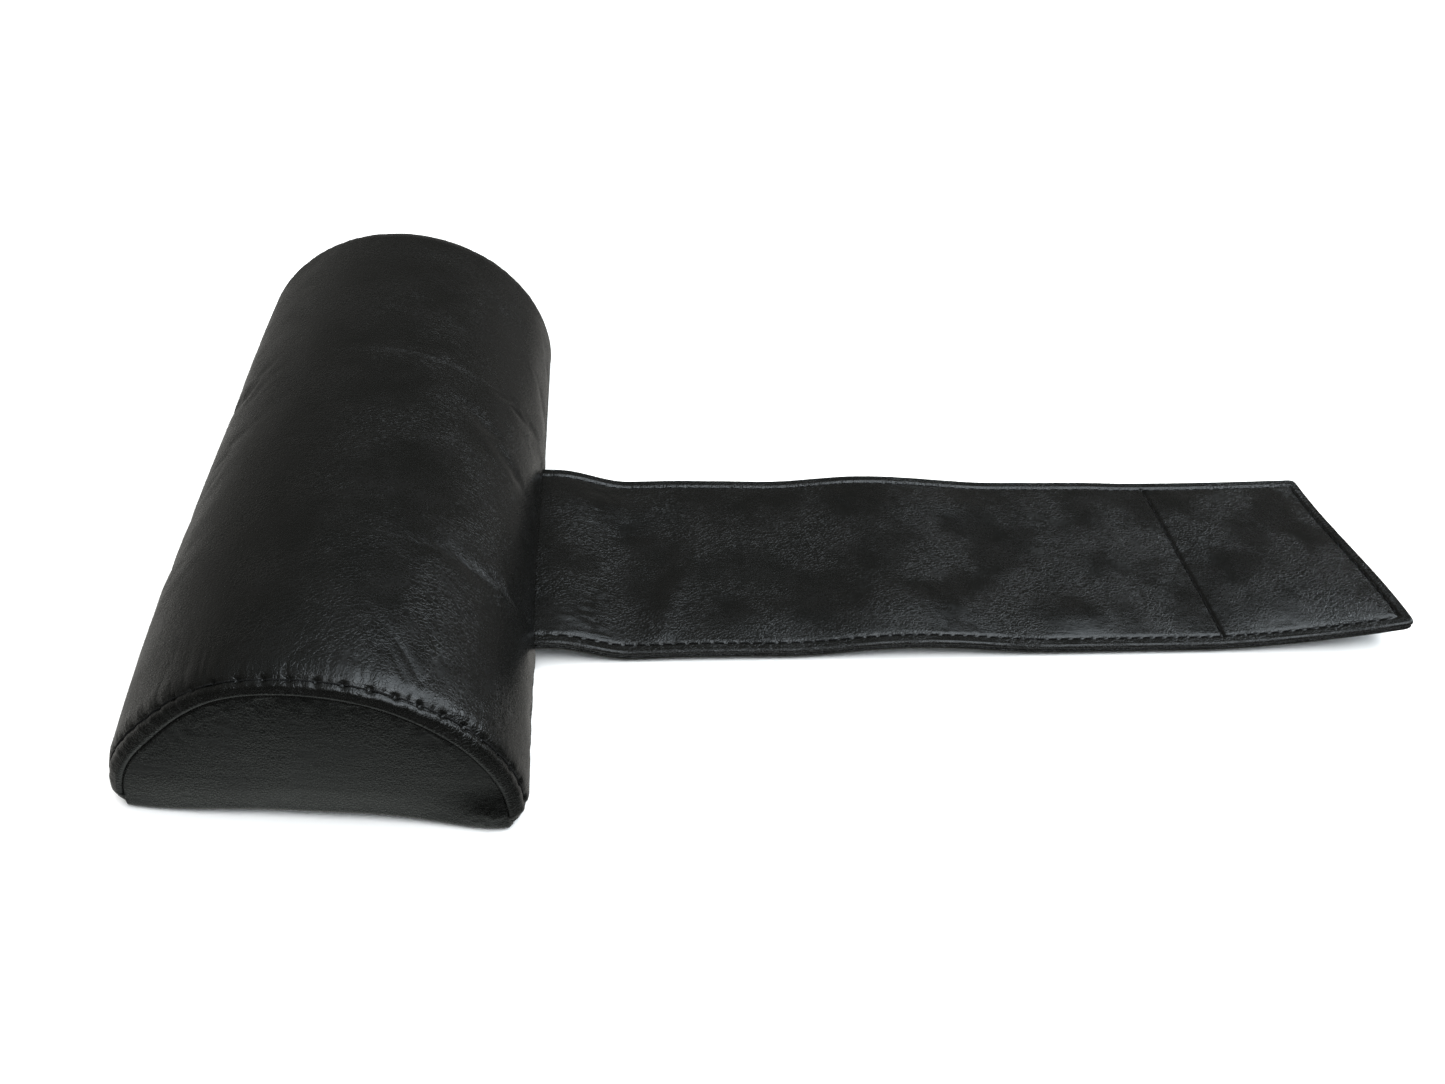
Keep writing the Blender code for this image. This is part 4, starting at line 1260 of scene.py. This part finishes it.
def make_floor():
    """A pale floor that turns to plain white away from the pad."""
    made, nodes = new_material("pale_floor")
    place = nodes.add("TexCoord", output="Object")
    reach = nodes.add("VectorMath", {0: place}, "Value", operation="LENGTH")
    nodes.shade(Base_Color=nodes.tint(nodes.noise(place, 3.0), grey(0.86), grey(0.88)),
                Roughness=0.9, Specular_IOR_Level=0.1, Emission_Color=(1, 1, 1, 1),
                Emission_Strength=nodes.remap(reach, 0.8, 3.5))
    verts = [(FLOOR_HALF * x, FLOOR_HALF * y, 0) for x, y in ((-1, -1), (1, -1), (1, 1), (-1, 1))]
    floor = new_object("floor", verts, [(0, 1, 2, 3)], made)
    floor.location.z = -0.0004
    floor.visible_glossy = False


def make_backdrop():
    """A pale wall round the floor, seen only by the camera."""
    made, nodes = new_material("pale_backdrop")
    cloud = nodes.noise(nodes.add("TexCoord", output="Object"), 0.4)
    nodes.shade(Emission_Color=nodes.tint(cloud, grey(1.0), grey(1.02)), Emission_Strength=1.0,
                Base_Color=(0, 0, 0, 1))
    count = 96
    turn = np.linspace(0, 2 * pi, count, endpoint=False)
    ring = (FLOOR_HALF - WALL_GAP) * stack(np.cos(turn), np.sin(turn))
    verts = [(*spot, height) for height in (-0.5, 9.0) for spot in ring]
    faces = [(i, (i + 1) % count, count + (i + 1) % count, count + i) for i in range(count)]
    wall = new_object("backdrop", verts, faces, made)
    wall.visible_glossy = wall.visible_diffuse = wall.visible_shadow = False


def make_light(name, place, size, power, colour, glossy=True):
    """A rectangular lamp that faces the middle of the object."""
    data = bpy.data.lights.new(name, "AREA")
    data.shape = "RECTANGLE"
    data.size, data.size_y = size
    data.energy = power
    data.color = colour
    obj = bpy.data.objects.new(name, data)
    bpy.context.scene.collection.objects.link(obj)
    obj.location = place
    way = Vector((0.15, -0.03, 0.0)) - Vector(place)
    obj.rotation_euler = way.to_track_quat("-Z", "Y").to_euler()
    obj.visible_glossy = glossy


def sky(nodes, level, levels):
    """The room's brightness from straight down to straight up, given as (height, value, tint)."""
    colour = nodes.add("ValToRGB", {"Fac": level}, "Color")
    ramp = colour.node.color_ramp
    while len(ramp.elements) < len(levels):
        ramp.elements.new(0.5)
    for element, (height, value, tint) in zip(ramp.elements, levels):
        element.position = (height + 1) / 2
        element.color = (*[value * part for part in tint], 1)
    return colour


WARM = (1.0, 0.985, 0.94)
COOL = (0.90, 0.97, 1.0)
GREEN = (0.93, 1.0, 0.96)
# The room as the leather mirrors it, on the camera's side and behind the pad.
FRONT_SKY = ((-1.0, 0.55, GREEN), (-0.84, 0.52, GREEN), (-0.73, 0.30, GREEN), (-0.60, 0.12, GREEN),
             (-0.45, 0.03, GREEN), (0.0, 0.05, WARM), (0.5, 0.12, WARM), (1.0, 0.20, COOL))
BACK_SKY = ((-1.0, 0.40, WARM), (-0.48, 0.42, WARM), (-0.35, 0.30, WARM), (-0.2, 0.09, WARM),
            (-0.08, 0.25, WARM), (0.15, 0.17, WARM), (0.35, 0.11, WARM), (0.50, 0.12, WARM),
            (0.66, 0.08, WARM), (0.76, 0.07, COOL), (0.86, 0.30, COOL), (0.94, 0.34, COOL),
            (1.0, 0.16, COOL))


def make_lights():
    world = bpy.data.worlds.new("studio")
    bpy.context.scene.world = world
    world.use_nodes = True
    nodes = Nodes(world.node_tree)
    parts = nodes.split(nodes.add("TexCoord", output="Generated"))
    level = nodes.remap(parts["Z"], -1.0, 1.0)
    room = nodes.mix(nodes.remap(parts["Y"], -0.25, 0.25), sky(nodes, level, FRONT_SKY),
                     sky(nodes, level, BACK_SKY))
    back = world.node_tree.nodes["Background"].inputs
    nodes.plug(back["Color"], room)
    nodes.plug(back["Strength"], nodes.remap(parts["X"], -1.0, 1.0, 1.1, 0.9))
    make_light("front_softbox", (0.55, -1.0, 1.35), (1.3, 0.9), 10, (0.88, 0.95, 1.0))
    make_light("overhead", (0.2, 0.2, 2.6), (4.0, 4.0), 180, (1.0, 0.99, 0.97), False)
    make_light("side_softbox", (1.50, 0.25, 0.75), (0.6, 0.6), 6, (0.86, 0.94, 1.0))
    make_light("softbox", (1.10, -0.20, 1.80), (1.9, 1.5), 24, (0.84, 0.93, 1.0))


def make_camera():
    """The camera, where the photo was taken from: its bearing, dip below level and lean."""
    bearing, dip, lean = radians(8.85), radians(41.79), radians(6.29)
    ahead = Vector((sin(bearing) * cos(dip), cos(bearing) * cos(dip), -sin(dip)))
    right = ahead.cross(Vector((0, 0, 1))).normalized()
    up = right.cross(ahead)
    right, up = cos(lean) * right + sin(lean) * up, cos(lean) * up - sin(lean) * right
    data = bpy.data.cameras.new("camera")
    data.lens = 28.49
    data.sensor_width = 36.0
    data.clip_start = 0.01
    camera = bpy.data.objects.new("camera", data)
    bpy.context.scene.collection.objects.link(camera)
    turn = Matrix((right, up, -ahead)).transposed()
    camera.matrix_world = Matrix.Translation((0.0911, -0.382, 0.3421)) @ turn.to_4x4()
    bpy.context.scene.camera = camera


bpy.context.scene.view_settings.view_transform = "Standard"
make_camera()
make_lights()
make_floor()
make_backdrop()
cover_grid, near_edge, far_edge, cover_along = make_cover()
make_arch_stitches("front", cover_grid, near_edge, cover_along)
make_arch_stitches("rear", cover_grid[::-1], far_edge[::-1], cover_along)
for end_name, end_side, end_out, end_in, end_seed in (
        ("front", -1, NEAR_SEAM_Y, NEAR_ROUND * (1 - cos(NEAR_TURN)), 81),
        ("rear", 1, SEAM_Y, FAR_ROUND * (1 - cos(FAR_TURN)), 91)):
    make_end(end_name, end_side, end_out, end_in, end_seed)
    make_end_wadding(end_name, end_side, end_out, end_in)
make_wadding()
make_base("base_panel", -1, 121)
make_base("base_margin", 1, 122)
make_base_stitches()
make_loop_panel()
make_teeth()
make_strap()
make_strap_stitches()
make_hook_panel()
dress_frame_nodes()
